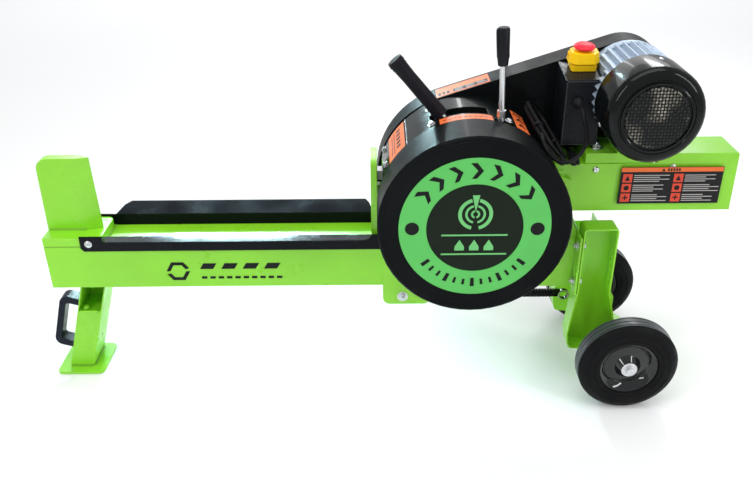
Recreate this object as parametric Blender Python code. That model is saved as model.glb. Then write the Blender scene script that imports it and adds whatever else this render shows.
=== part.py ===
"""Kinetic log splitter: beam with wedge and sliding pusher, rack driven by two flywheels, belt-driven by a motor.

Metres, +Z up. The beam runs along X with the wedge at -X and the motor at +X. The operator's side is -Y.
"""

import math

import bmesh
import bpy
from mathutils import Matrix, Vector

for leftover in list(bpy.data.objects):
    bpy.data.objects.remove(leftover)

# ---------------------------------------------------------------- driving dimensions
GAP = 0.0003  # between pieces that touch

FLYWHEEL_X = 0.1799
FLYWHEEL_Z = 0.3966

BEAM_FRONT_X = FLYWHEEL_X - 0.820
BEAM_REAR_X = FLYWHEEL_X + 0.210
BEAM_HALF_WIDTH = 0.0485
BEAM_BOTTOM_Z = 0.213
BEAM_TOP_Z = 0.3045
BEAM_WALL = 0.004

BASE_PLATE_TOP_Z = 0.3235
BASE_PLATE_END_X = FLYWHEEL_X - 0.706
WEDGE_TOP_Z = 0.473
WEDGE_BEVEL_X = FLYWHEEL_X - 0.742
WEDGE_EDGE_X = FLYWHEEL_X - 0.714
WEDGE_HALF_THICKNESS = 0.010

LEG_FOOT_X = FLYWHEEL_X - 0.8315
LEG_LEAN = math.tan(math.radians(16.2))
LEG_WIDTH = 0.0505
LEG_NEAR_Y = -0.027
LEG_FAR_Y = 0.045
LEG_WALL = 0.003
FOOT_PLATE_THICKNESS = 0.005

TRAY_THICKNESS = 0.0025
TRAY_BOTTOM_Z = 0.296
TRAY_FOLD_Z = 0.328
TRAY_FLANGE = 0.044
TRAY_TILT = math.radians(13)

SIDE_PLATE_INNER_Y = BEAM_HALF_WIDTH + GAP
SIDE_PLATE_OUTER_Y = SIDE_PLATE_INNER_Y + 0.006

FLYWHEEL_RADIUS = 0.145
SHAFT_RADIUS = 0.0125
COVER_RADIUS = 0.172
COVER_FACE_Y = -0.1625
GUARD_RADIUS = 0.170
GUARD_WALL = 0.002
GUARD_NEAR_Y = -0.0745
BELT_GUARD_NEAR_Y = 0.065
BELT_GUARD_FAR_Y = 0.124

MOTOR_X = FLYWHEEL_X + 0.299
MOTOR_Z = 0.588
MOTOR_FIN_RADIUS = 0.0825
MOTOR_FIN_ROOT = 0.0745
MOTOR_PULLEY_RADIUS = 0.028
DRIVEN_PULLEY_RADIUS = 0.140
COWL_RADIUS = 0.0845
COWL_FACE_Y = -0.1365

HOUSING_FRONT_X = FLYWHEEL_X + 0.105
HOUSING_REAR_X = FLYWHEEL_X + 0.496
HOUSING_HALF_WIDTH = 0.0430
HOUSING_BOTTOM_Z = 0.3715
HOUSING_TOP_Z = 0.468
HOUSING_RAISED_Z = 0.487

PINION_TEETH = 12
GEAR_MODULE = 0.003
PUSHER_FACE_X = FLYWHEEL_X - 0.1835
PUSHER_THICKNESS = 0.012
RACK_TIP_Z = 0.4190
RACK_TOP_Z = 0.4440
RACK_HALF_WIDTH = 0.012
RACK_TEETH = 69

WHEEL_X = FLYWHEEL_X + 0.310
WHEEL_RADIUS = 0.096
WHEEL_WIDTH = 0.052
WHEEL_FACE_Y = 0.1785
AXLE_RADIUS = 0.008
WHEEL_LEG_INNER_Y = 0.0505
WHEEL_LEG_OUTER_Y = 0.0900
WHEEL_LEG_WALL = 0.003
FAR_LEG_TOP_Z = 0.302

BOX_LEFT_X = FLYWHEEL_X + 0.168
BOX_RIGHT_X = FLYWHEEL_X + 0.236
BOX_NEAR_Y = -0.020
BOX_BOTTOM_Z = 0.497
BOX_TOP_NEAR_Z = 0.619
BOX_TOP_FAR_Z = 0.630

CORD_RADIUS = 0.00375
HANK_RADIUS = 0.0085
HANK_HALF_RUN = 0.042
HANK_FOLD = 0.028
HANK_DRAPE_RADIUS = COVER_RADIUS + HANK_RADIUS + 0.0016

# ---------------------------------------------------------------- materials


def make_material(name, colour, roughness, metallic=0.0):
    material = bpy.data.materials.new(name)
    material.use_nodes = True
    shader = material.node_tree.nodes["Principled BSDF"]
    shader.inputs["Base Color"].default_value = (*colour, 1.0)
    shader.inputs["Roughness"].default_value = roughness
    shader.inputs["Metallic"].default_value = metallic
    return material


GREEN = make_material("green_powder_coat", (0.22, 0.62, 0.03), 0.35)
BLACK = make_material("black_gloss_paint", (0.008, 0.010, 0.010), 0.18)
STEEL = make_material("bare_steel", (0.45, 0.45, 0.46), 0.35, 1.0)
ZINC = make_material("zinc_plated_steel", (0.72, 0.73, 0.74), 0.28, 1.0)
IRON = make_material("grey_cast_iron", (0.16, 0.16, 0.17), 0.55, 0.9)
ALUMINIUM = make_material("cast_aluminium", (0.62, 0.67, 0.72), 0.42, 0.9)
RUBBER = make_material("black_rubber", (0.018, 0.018, 0.019), 0.75)
PLASTIC = make_material("black_plastic", (0.014, 0.014, 0.015), 0.45)
YELLOW = make_material("yellow_plastic", (0.95, 0.66, 0.02), 0.40)
RED = make_material("red_plastic", (0.80, 0.04, 0.04), 0.38)
GREEN_BUTTON = make_material("green_plastic", (0.02, 0.45, 0.10), 0.38)
CORD = make_material("black_cord_sheath", (0.012, 0.012, 0.013), 0.50)
COPPER = make_material("copper_and_lamination", (0.42, 0.30, 0.20), 0.50, 0.8)

# ---------------------------------------------------------------- modelling helpers


def finish(name, shape, material, origin=(0, 0, 0), smooth=True):
    """Turns a bmesh in world coordinates into an object whose origin is given."""
    bmesh.ops.recalc_face_normals(shape, faces=shape.faces)
    if shape.calc_volume(signed=True) < 0:
        bmesh.ops.reverse_faces(shape, faces=shape.faces)
    mesh = bpy.data.meshes.new(name)
    bmesh.ops.translate(shape, verts=shape.verts, vec=-Vector(origin))
    shape.to_mesh(mesh)
    shape.free()
    mesh.materials.append(material)
    if smooth:
        mesh.polygons.foreach_set("use_smooth", [True] * len(mesh.polygons))
        mesh.set_sharp_from_angle(angle=math.radians(32))
    part = bpy.data.objects.new(name, mesh)
    part.location = origin
    bpy.context.collection.objects.link(part)
    return part


def prism(outline, y0, y1):
    """A solid with an outline of (x, z) points between two Y planes."""
    shape = bmesh.new()
    near = [shape.verts.new((x, y0, z)) for x, z in outline]
    far = [shape.verts.new((x, y1, z)) for x, z in outline]
    shape.faces.new(near)
    shape.faces.new(list(reversed(far)))
    for i in range(len(outline)):
        j = (i + 1) % len(outline)
        shape.faces.new((near[j], near[i], far[i], far[j]))
    return shape


def box(x0, x1, y0, y1, z0, z1):
    return prism([(x0, z0), (x1, z0), (x1, z1), (x0, z1)], y0, y1)


def lathe(profile, x, z, segments=48):
    """Revolves a closed profile of (radius, y) points round the line through (x, z) along Y."""
    shape = bmesh.new()
    rings = []
    for radius, y in profile:
        if radius < 1e-6:
            rings.append([shape.verts.new((x, y, z))])
            continue
        turn = [2 * math.pi * k / segments for k in range(segments)]
        rings.append([shape.verts.new((x + radius * math.sin(a), y, z + radius * math.cos(a))) for a in turn])
    for ring, following in zip(rings, rings[1:] + rings[:1]):
        for k in range(segments):
            m = (k + 1) % segments
            corners = [ring[k % len(ring)], ring[m % len(ring)]]
            corners += [following[m % len(following)], following[k % len(following)]]
            distinct = list(dict.fromkeys(corners))
            if len(distinct) > 2:
                shape.faces.new(distinct)
    return shape


def disc(radius, y0, y1, x, z, segments=32):
    return prism(circle(x, z, radius, segments), y0, y1)


def circle(x, z, radius, segments=32):
    return arc(x, z, radius, 0, 360, segments)[:-1]


def arc(x, z, radius, start, end, steps):
    """Points round (x, z); angles in degrees from +X towards +Z."""
    angles = [math.radians(start + (end - start) * k / steps) for k in range(steps + 1)]
    return [(x + radius * math.cos(a), z + radius * math.sin(a)) for a in angles]


def rounded(corners, radii, steps=4):
    """A closed outline with each corner rounded to its radius."""
    outline = []
    count = len(corners)
    for i, (corner, radius) in enumerate(zip(corners, radii)):
        here = Vector(corner)
        before = (Vector(corners[i - 1]) - here).normalized()
        after = (Vector(corners[(i + 1) % count]) - here).normalized()
        if radius <= 0:
            outline.append(tuple(here))
            continue
        half = before.angle(after) / 2
        reach = radius / math.tan(half)
        centre = here + (before + after).normalized() * radius / math.sin(half)
        start = here + before * reach - centre
        sweep = start.angle_signed(here + after * reach - centre)
        for k in range(steps + 1):
            turn = -sweep * k / steps
            outline.append(tuple(centre + Matrix.Rotation(turn, 2) @ start))
    return outline


def hull_outline(radius_a, radius_b, steps_a=40, steps_b=20):
    """The outline of a strap tight round a circle on the flywheel axis and one on the motor axis."""
    span = Vector((MOTOR_X - FLYWHEEL_X, MOTOR_Z - FLYWHEEL_Z))
    heading = math.degrees(math.atan2(span.y, span.x))
    spread = math.degrees(math.acos((radius_a - radius_b) / span.length))
    around_a = arc(FLYWHEEL_X, FLYWHEEL_Z, radius_a, heading + spread, heading + 360 - spread, steps_a)
    around_b = arc(MOTOR_X, MOTOR_Z, radius_b, heading - spread, heading + spread, steps_b)
    return around_a + around_b


def hide(cutter):
    cutter.hide_render = True
    cutter.display_type = "WIRE"


def combine(part, shape, operation):
    """Adds a Boolean of a bmesh in world coordinates to a part."""
    other = finish(part.name + "_tool", shape, part.data.materials[0], part.location)
    other.parent = part.parent
    hide(other)
    modifier = part.modifiers.new("Boolean", "BOOLEAN")
    modifier.operation = operation
    modifier.solver = "EXACT"
    modifier.object = other


def cut(part, shape):
    combine(part, shape, "DIFFERENCE")


def add(part, shape):
    combine(part, shape, "UNION")


def move(shape, offset):
    bmesh.ops.translate(shape, verts=shape.verts, vec=Vector(offset))
    return shape


def rotate(shape, degrees, axis, centre):
    turn = Matrix.Rotation(math.radians(degrees), 3, axis)
    bmesh.ops.rotate(shape, verts=shape.verts, cent=Vector(centre), matrix=turn)
    return shape


def mirrored(shape):
    """The same shape on the other side of the XZ plane."""
    bmesh.ops.scale(shape, verts=shape.verts, vec=(1, -1, 1))
    bmesh.ops.reverse_faces(shape, faces=shape.faces)
    return shape


def on_side(shape, side):
    """side is -1 for the operator's side, where shapes are drawn, and 1 for the far side."""
    return mirrored(shape) if side > 0 else shape


def rod(start, end, radius, segments=12):
    """A cylinder between two points, with an optional second radius at its end."""
    start = Vector(start)
    end = Vector(end)
    radii = radius if isinstance(radius, tuple) else (radius, radius)
    shape = bmesh.new()
    spin = (end - start).to_track_quat("Z", "X").to_matrix()
    rings = []
    for place, size in ((start, radii[0]), (end, radii[1])):
        turn = [2 * math.pi * k / segments for k in range(segments)]
        points = [place + spin @ Vector((size * math.cos(a), size * math.sin(a), 0)) for a in turn]
        rings.append([shape.verts.new(point) for point in points])
    shape.faces.new(list(reversed(rings[0])))
    shape.faces.new(rings[1])
    for k in range(segments):
        m = (k + 1) % segments
        shape.faces.new((rings[0][k], rings[0][m], rings[1][m], rings[1][k]))
    return shape


def tube_curve(name, points, radius, material, resolution=2):
    curve = bpy.data.curves.new(name, "CURVE")
    curve.dimensions = "3D"
    curve.bevel_depth = radius
    curve.bevel_resolution = resolution
    curve.use_fill_caps = True
    spline = curve.splines.new("POLY")
    spline.points.add(len(points) - 1)
    for slot, point in zip(spline.points, points):
        slot.co = (*point, 1.0)
    curve.materials.append(material)
    part = bpy.data.objects.new(name, curve)
    bpy.context.collection.objects.link(part)
    return part


def smooth_route(points, spacing):
    """Points at about even spacing on a Catmull-Rom curve through the given ones."""
    points = [Vector(p) for p in points]
    padded = [2 * points[0] - points[1], *points, 2 * points[-1] - points[-2]]
    fine = []
    for a, b, c, d in zip(padded, padded[1:], padded[2:], padded[3:]):
        for k in range(24):
            t = k / 24
            fine.append(0.5 * (2 * b + (c - a) * t + (2 * a - 5 * b + 4 * c - d) * t**2
                               + (3 * b - a - 3 * c + d) * t**3))
    fine.append(points[-1])
    length = sum((q - p).length for p, q in zip(fine, fine[1:]))
    count = max(2, round(length / spacing))
    route = [fine[0]]
    travelled = 0.0
    for p, q in zip(fine, fine[1:]):
        travelled += (q - p).length
        if travelled >= length * len(route) / count - 1e-9 and len(route) < count:
            route.append(q)
    route.append(fine[-1])
    return route


def inset(outline, distance):
    """An outline moved inwards by a wall thickness; the outline runs anticlockwise."""
    count = len(outline)
    area = sum(outline[i - 1][0] * outline[i][1] - outline[i][0] * outline[i - 1][1] for i in range(count))
    side = 1 if area > 0 else -1
    moved = []
    for i in range(count):
        before = (Vector(outline[i]) - Vector(outline[i - 1])).normalized()
        after = (Vector(outline[(i + 1) % count]) - Vector(outline[i])).normalized()
        normal_a = Vector((-before.y, before.x)) * side
        normal_b = Vector((-after.y, after.x)) * side
        middle = (normal_a + normal_b).normalized()
        moved.append(tuple(Vector(outline[i]) + middle * distance / max(0.35, middle.dot(normal_a))))
    return moved


# ---------------------------------------------------------------- frame


def build_beam():
    beam = finish("front_beam", box(BEAM_FRONT_X, BEAM_REAR_X, -BEAM_HALF_WIDTH, BEAM_HALF_WIDTH,
                                    BEAM_BOTTOM_Z, BEAM_TOP_Z), GREEN)
    cut(beam, box(BEAM_FRONT_X + BEAM_WALL, BEAM_REAR_X + 0.01, -BEAM_HALF_WIDTH + BEAM_WALL,
                  BEAM_HALF_WIDTH - BEAM_WALL, BEAM_BOTTOM_Z + BEAM_WALL, BEAM_TOP_Z - BEAM_WALL))


def build_wedge():
    plate = box(BEAM_FRONT_X, BASE_PLATE_END_X, -BEAM_HALF_WIDTH, BEAM_HALF_WIDTH,
                BEAM_TOP_Z + GAP, BASE_PLATE_TOP_Z)
    rear_corners = [e for e in plate.edges if all(v.co.x > BASE_PLATE_END_X - 1e-6 for v in e.verts)
                    and abs(e.verts[0].co.z - e.verts[1].co.z) > 0.001]
    bmesh.ops.bevel(plate, geom=rear_corners, offset=0.014, segments=4, affect="EDGES", profile=0.5)
    finish("wedge_base_plate", plate, GREEN)

    floor = BASE_PLATE_TOP_Z + GAP
    outline = rounded([(BEAM_FRONT_X, floor), (WEDGE_EDGE_X, floor), (WEDGE_EDGE_X - 0.004, WEDGE_TOP_Z),
                       (BEAM_FRONT_X + 0.003, WEDGE_TOP_Z)], [0, 0, 0.002, 0.022], 5)
    blade = finish("splitting_wedge", prism(outline, -WEDGE_HALF_THICKNESS, WEDGE_HALF_THICKNESS), GREEN)
    for side in (-1, 1):
        outer = side * 0.02
        cheek = bmesh.new()
        plan = [(WEDGE_BEVEL_X, side * WEDGE_HALF_THICKNESS), (WEDGE_EDGE_X + 0.004, side * 0.0004 - side * 0.0011),
                (WEDGE_EDGE_X + 0.004, outer), (WEDGE_BEVEL_X, outer)]
        low = [cheek.verts.new((x, y, floor - 0.01)) for x, y in plan]
        high = [cheek.verts.new((x, y, WEDGE_TOP_Z + 0.01)) for x, y in plan]
        cheek.faces.new(low)
        cheek.faces.new(list(reversed(high)))
        for k in range(4):
            m = (k + 1) % 4
            cheek.faces.new((low[m], low[k], high[k], high[m]))
        cut(blade, cheek)


def leg_x(z):
    """X of the leg's front face at height z: the foot stands further forward than the top."""
    return LEG_FOOT_X + LEG_LEAN * (z - FOOT_PLATE_THICKNESS)


def build_front_leg():
    top = BEAM_BOTTOM_Z - GAP
    foot = FOOT_PLATE_THICKNESS + GAP

    def slice_of(x_in, low, high, near, far):
        corners = [(leg_x(low) + x_in, low), (leg_x(low) + LEG_WIDTH - x_in, low),
                   (leg_x(high) + LEG_WIDTH - x_in, high), (leg_x(high) + x_in, high)]
        return prism(corners, near, far)

    leg = finish("front_leg", slice_of(0, foot, top, LEG_NEAR_Y, LEG_FAR_Y), GREEN)
    cut(leg, slice_of(LEG_WALL, foot - 0.01, 0.140, LEG_NEAR_Y + LEG_WALL, LEG_FAR_Y - LEG_WALL))
    cut(leg, slice_of(LEG_WALL, 0.1425, top + 0.01, LEG_NEAR_Y - 0.01, LEG_FAR_Y - LEG_WALL))
    lip = rounded([(leg_x(0.142) + 0.005, 0.1375), (leg_x(0.142) + 0.041, 0.1375),
                   (leg_x(0.142) + 0.041, 0.1460), (leg_x(0.142) + 0.005, 0.1460)], [0.002] * 4, 3)
    add(leg, prism(lip, LEG_NEAR_Y - 0.004, LEG_NEAR_Y + 0.002))

    front = LEG_FOOT_X - 0.021
    rear = front + 0.098
    plate = box(front, rear, -0.051, 0.056, 0.0, FOOT_PLATE_THICKNESS)
    corners = [e for e in plate.edges if abs(e.verts[0].co.z - e.verts[1].co.z) > 0.001]
    bmesh.ops.bevel(plate, geom=corners, offset=0.012, segments=4, affect="EDGES", profile=0.5)
    finish("foot_plate", plate, GREEN)


def build_lift_handle():
    """A D-shaped grip on the front of the leg, one bar bent twice."""
    lean = math.atan(LEG_LEAN)
    along = Vector((math.sin(lean), math.cos(lean)))
    out = Vector((-math.cos(lean), math.sin(lean)))
    foot = Vector((leg_x(0.042) - GAP, 0.042))

    def place(height, reach):
        point = foot + along * height + out * reach
        return (point.x, point.y)

    height = 0.1235
    reach = 0.0425
    outer = rounded([place(0, 0), place(height, 0), place(height, reach), place(0, reach)],
                    [0, 0, 0.017, 0.017], 5)
    bar = 0.0155
    inner = rounded([place(bar, -0.01), place(height - bar, -0.01), place(height - bar, reach - 0.0135),
                     place(bar, reach - 0.0135)], [0, 0, 0.006, 0.006], 3)
    handle = finish("lift_handle", prism(outer, -0.012, 0.018), PLASTIC)
    cut(handle, prism(inner, -0.05, 0.05))


def bolt_shape(place, axis, head_radius, head_height, washer_radius, washer_height):
    """A hexagon head on its washer, standing on a surface at place and pointing along axis."""
    place = Vector(place)
    axis = Vector(axis).normalized()
    turn = axis.to_track_quat("Z", "X").to_matrix()
    shape = bmesh.new()
    around = 24
    washer_low = []
    washer_high = []
    for k in range(around):
        spoke = turn @ Vector((math.cos(2 * math.pi * k / around), math.sin(2 * math.pi * k / around), 0))
        washer_low.append(shape.verts.new(place + spoke * washer_radius))
        washer_high.append(shape.verts.new(place + spoke * washer_radius + axis * washer_height))
    head_low = []
    head_high = []
    for k in range(6):
        spoke = turn @ Vector((math.cos(math.pi * k / 3), math.sin(math.pi * k / 3), 0))
        head_low.append(shape.verts.new(place + spoke * head_radius + axis * washer_height))
        head_high.append(shape.verts.new(place + spoke * head_radius + axis * (washer_height + head_height)))
    shape.faces.new(washer_low)
    for k in range(around):
        m = (k + 1) % around
        shape.faces.new((washer_low[k], washer_low[m], washer_high[m], washer_high[k]))
    for k in range(6):
        m = (k + 1) % 6
        shape.faces.new((head_low[k], head_low[m], head_high[m], head_high[k]))
        fan = [washer_high[(4 * k + s) % around] for s in range(5)]
        shape.faces.new((head_low[k], *fan, head_low[m]))
    shape.faces.new(head_high)
    return shape


def build_tray(name, side):
    """One bent sheet: a flange down the beam's side and a shelf that leans outwards and up."""
    front = FLYWHEEL_X - 0.747
    rear = FLYWHEEL_X - 0.1665
    y_face = side * (BEAM_HALF_WIDTH + GAP)
    y_outer = y_face + side * TRAY_FLANGE * math.cos(TRAY_TILT)
    z_outer = TRAY_FOLD_Z + TRAY_FLANGE * math.sin(TRAY_TILT)
    sheet = bmesh.new()
    fold_front = sheet.verts.new((FLYWHEEL_X - 0.703, y_face, TRAY_FOLD_Z))
    fold_rear = sheet.verts.new((FLYWHEEL_X - 0.181, y_face, TRAY_FOLD_Z))
    web = [(front, y_face, TRAY_BOTTOM_Z + 0.006), (front + 0.006, y_face, TRAY_BOTTOM_Z),
           (rear, y_face, TRAY_BOTTOM_Z), (rear, y_face, TRAY_FOLD_Z)]
    corners = [sheet.verts.new(point) for point in web]
    front_top = sheet.verts.new((front, y_face, TRAY_FOLD_Z))
    sheet.faces.new([*corners, fold_rear, fold_front, front_top])
    shelf = [(FLYWHEEL_X - 0.196, y_outer, z_outer), (FLYWHEEL_X - 0.680, y_outer, z_outer)]
    shelf_middle = [(FLYWHEEL_X - 0.188, y_face + (y_outer - y_face) * 0.7, TRAY_FOLD_Z + (z_outer - TRAY_FOLD_Z) * 0.7),
                    (FLYWHEEL_X - 0.692, y_face + (y_outer - y_face) * 0.7, TRAY_FOLD_Z + (z_outer - TRAY_FOLD_Z) * 0.7)]
    rim = [sheet.verts.new(shelf_middle[0]), *[sheet.verts.new(p) for p in shelf], sheet.verts.new(shelf_middle[1])]
    sheet.faces.new([fold_front, fold_rear, *rim])
    tray = finish(name, sheet, BLACK, smooth=False)
    thicken = tray.modifiers.new("Solidify", "SOLIDIFY")
    thicken.thickness = TRAY_THICKNESS
    thicken.use_even_offset = True
    return tray


def orient_sheet(tray, outward):
    """Makes the sheet's faces agree with a direction, so that Solidify thickens it to the right side."""
    mesh = tray.data
    if mesh.polygons[0].normal.dot(Vector(outward)) < 0:
        mesh.flip_normals()


def build_trays():
    for name, side in (("near_log_tray", -1), ("far_log_tray", 1)):
        tray = build_tray(name, side)
        orient_sheet(tray, (0, side, 0))
        tray.modifiers["Solidify"].offset = 1.0


def side_plate_outline():
    """The plate behind each flywheel: a lobe below the beam, a round top and a tail to the rear legs."""
    front = FLYWHEEL_X - 0.162
    top = arc(FLYWHEEL_X, FLYWHEEL_Z, 0.1635, 20, 150, 18)
    lower = rounded([(front, 0.45), (front, 0.172), (FLYWHEEL_X - 0.075, 0.172), (FLYWHEEL_X - 0.040, 0.2115),
                     (FLYWHEEL_X + 0.2095, 0.2115)], [0, 0.014, 0.014, 0.012, 0], 4)
    tail = [(FLYWHEEL_X + 0.2095, 0.335), (FLYWHEEL_X + 0.190, 0.372), (FLYWHEEL_X + 0.190, 0.440)]
    start = [(front, FLYWHEEL_Z + 0.045)]
    return start + lower[1:] + tail + top


def build_side_plate(name, side):
    plate = finish(name, on_side(prism(side_plate_outline(), -SIDE_PLATE_OUTER_Y, -SIDE_PLATE_INNER_Y), side), GREEN)
    cut(plate, disc(0.024, -0.1, 0.1, FLYWHEEL_X, FLYWHEEL_Z, 24))
    return plate


def build_rear_frame():
    x0 = FLYWHEEL_X + 0.2103
    plate = box(x0, x0 + 0.0045, -0.0885, 0.0885, 0.2115, 0.335)
    finish("rear_end_plate", plate, GREEN)

    housing_outline = [(HOUSING_FRONT_X, HOUSING_BOTTOM_Z), (HOUSING_REAR_X + 0.002, HOUSING_BOTTOM_Z),
                       (HOUSING_REAR_X, HOUSING_RAISED_Z), (FLYWHEEL_X + 0.360, HOUSING_RAISED_Z),
                       (FLYWHEEL_X + 0.345, HOUSING_TOP_Z), (HOUSING_FRONT_X, HOUSING_TOP_Z)]
    outline = rounded(housing_outline, [0, 0, 0.004, 0.006, 0.006, 0], 3)
    housing = finish("rear_housing", prism(outline, -HOUSING_HALF_WIDTH, HOUSING_HALF_WIDTH), GREEN)
    bore = [(HOUSING_FRONT_X - 0.01, HOUSING_BOTTOM_Z + 0.004), (HOUSING_REAR_X - 0.004, HOUSING_BOTTOM_Z + 0.004),
            (HOUSING_REAR_X - 0.004, HOUSING_TOP_Z - 0.004), (HOUSING_FRONT_X - 0.01, HOUSING_TOP_Z - 0.004)]
    cut(housing, prism(bore, -HOUSING_HALF_WIDTH + 0.004, HOUSING_HALF_WIDTH - 0.004))
    for side in (-1, 1):
        pad = box(HOUSING_FRONT_X + 0.006, HOUSING_FRONT_X + 0.070, -BEAM_HALF_WIDTH, -HOUSING_HALF_WIDTH + 0.001,
                  HOUSING_BOTTOM_Z + 0.012, HOUSING_TOP_Z - 0.012)
        add(housing, on_side(pad, side))


def wheel_leg_outline(wall=0.0):
    """The channel's outline, or with a wall thickness the outline of the hollow inside it."""
    x = FLYWHEEL_X
    corners = [(x + 0.2155, 0.355), (x + 0.2155, 0.215), (x + 0.205, 0.118), (x + 0.210, 0.086), (x + 0.240, 0.083),
               (x + 0.290, 0.070), (x + 0.336, 0.070), (x + 0.336, 0.122), (x + 0.296, 0.152), (x + 0.2805, 0.214),
               (x + 0.2805, 0.355)]
    radii = [0.006, 0.010, 0.010, 0.010, 0.008, 0.014, 0.014, 0.014, 0.012, 0.012, 0.006]
    if wall:
        corners = inset(corners, wall)
        radii = [max(0.001, radius - wall) for radius in radii]
    return rounded(corners, radii, 3)


def build_wheel_leg(name, side):
    """A pressed channel, open outwards, that carries the axle on one side. The far one ends lower."""
    leg = finish(name, on_side(prism(wheel_leg_outline(), -WHEEL_LEG_OUTER_Y, -WHEEL_LEG_INNER_Y), side), GREEN)
    pocket = prism(wheel_leg_outline(WHEEL_LEG_WALL), -WHEEL_LEG_OUTER_Y - 0.01, -WHEEL_LEG_INNER_Y - WHEEL_LEG_WALL)
    cut(leg, on_side(pocket, side))
    cut(leg, disc(AXLE_RADIUS + GAP, -0.2, 0.2, WHEEL_X, WHEEL_RADIUS, 16))
    if side > 0:
        cut(leg, box(WHEEL_X - 0.2, WHEEL_X + 0.2, 0, 0.2, FAR_LEG_TOP_Z, 0.5))
    return leg


# ---------------------------------------------------------------- wheels


def build_wheel(name, side):
    """Tyre and rim share the axle's line as their origin."""
    outer = -WHEEL_FACE_Y
    inner = outer + WHEEL_WIDTH
    origin = (WHEEL_X, side * (WHEEL_FACE_Y - WHEEL_WIDTH / 2), WHEEL_RADIUS)
    r = WHEEL_RADIUS
    profile = [(0.0560, outer + 0.004), (0.0620, outer), (r - 0.012, outer + 0.001), (r - 0.004, outer + 0.004),
               (r, outer + 0.009), (r, inner - 0.009), (r - 0.004, inner - 0.004), (r - 0.012, inner - 0.001),
               (0.0620, inner), (0.0560, inner - 0.004)]
    finish(f"{name}_tyre", on_side(lathe(profile, WHEEL_X, r, 40), side), RUBBER, origin)

    bore = AXLE_RADIUS + GAP
    rim = [(bore, outer + 0.003), (0.0150, outer + 0.003), (0.0250, outer + 0.014), (0.0420, outer + 0.0175),
           (0.0510, outer + 0.006), (0.0557, outer + 0.004), (0.0557, inner - 0.004), (0.0490, inner - 0.006),
           (0.0420, outer + 0.021), (0.0260, outer + 0.021), (0.0220, inner - 0.006), (bore, inner - 0.004)]
    finish(f"{name}_wheel_rim", on_side(lathe(rim, WHEEL_X, r, 28), side), BLACK, origin)

    head_y = side * (WHEEL_FACE_Y - 0.003 + GAP)
    nut = bolt_shape((WHEEL_X, head_y, r), (0, side, 0), 0.0078, 0.0065, 0.0155, 0.0022)
    finish(f"{name}_axle_bolt", nut, ZINC, smooth=False)


def build_axle():
    reach = WHEEL_FACE_Y - 0.003
    shaft = finish("wheel_axle", lathe([(0, -reach), (AXLE_RADIUS, -reach), (AXLE_RADIUS, reach), (0, reach)],
                                       WHEEL_X, WHEEL_RADIUS, 20), STEEL)
    for side in (-1, 1):
        inner = WHEEL_LEG_OUTER_Y + GAP
        outer = WHEEL_FACE_Y - WHEEL_WIDTH - GAP + 0.004
        sleeve = disc(0.0125, -outer, -inner, WHEEL_X, WHEEL_RADIUS, 20)
        add(shaft, on_side(sleeve, side))


# ---------------------------------------------------------------- flywheels and drive


def build_flywheel_shaft():
    origin = (FLYWHEEL_X, 0, FLYWHEEL_Z)
    shape = lathe([(0, -0.150), (SHAFT_RADIUS, -0.150), (SHAFT_RADIUS, 0.118), (0, 0.118)], *origin[::2], 24)
    shaft = finish("pinion_shaft", shape, STEEL, origin)

    pitch_radius = PINION_TEETH * GEAR_MODULE / 2
    outline = []
    for tooth in range(PINION_TEETH):
        start = 360 / PINION_TEETH * tooth
        steps = ((0.0, -1.15), (0.18, -1.15), (0.32, 0.9), (0.54, 0.9), (0.68, -1.15))
        for share, height in steps:
            a = math.radians(start + share * 360 / PINION_TEETH)
            radius = pitch_radius + height * GEAR_MODULE
            outline.append((FLYWHEEL_X + radius * math.cos(a), FLYWHEEL_Z + radius * math.sin(a)))
    add(shaft, prism(outline, -0.018, 0.018))

    near = -0.142
    profile = [(SHAFT_RADIUS + GAP, near), (0.030, near), (0.036, near + 0.014), (0.112, near + 0.014),
               (0.118, near), (FLYWHEEL_RADIUS - 0.002, near), (FLYWHEEL_RADIUS, near + 0.002),
               (FLYWHEEL_RADIUS, near + 0.050), (FLYWHEEL_RADIUS - 0.002, near + 0.052), (0.118, near + 0.052),
               (0.112, near + 0.038), (0.036, near + 0.038), (0.030, near + 0.052), (SHAFT_RADIUS + GAP, near + 0.052)]
    finish("near_flywheel", lathe(profile, FLYWHEEL_X, FLYWHEEL_Z, 32), IRON, origin)

    y0 = 0.0720
    r = DRIVEN_PULLEY_RADIUS
    profile = [(SHAFT_RADIUS + GAP, y0), (0.034, y0), (0.040, y0 + 0.012), (0.108, y0 + 0.012), (0.116, y0),
               (r + 0.003, y0), (r + 0.003, y0 + 0.008), (r, y0 + 0.009), (r, y0 + 0.035), (r + 0.003, y0 + 0.036),
               (r + 0.003, y0 + 0.044), (0.116, y0 + 0.044), (0.108, y0 + 0.032), (0.040, y0 + 0.032),
               (0.034, y0 + 0.044), (SHAFT_RADIUS + GAP, y0 + 0.044)]
    finish("far_flywheel_pulley", lathe(profile, FLYWHEEL_X, FLYWHEEL_Z, 32), IRON, origin)


def build_bearing(name, side):
    face = SIDE_PLATE_OUTER_Y + GAP
    depth = 0.014 if side < 0 else 0.0090
    profile = [(SHAFT_RADIUS + GAP, -face - depth), (0.022, -face - depth), (0.024, -face - depth + 0.003),
               (0.034, -face - 0.005), (0.040, -face - 0.004), (0.040, -face), (SHAFT_RADIUS + GAP, -face)]
    finish(name, on_side(lathe(profile, FLYWHEEL_X, FLYWHEEL_Z, 28), side), IRON)


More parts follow.
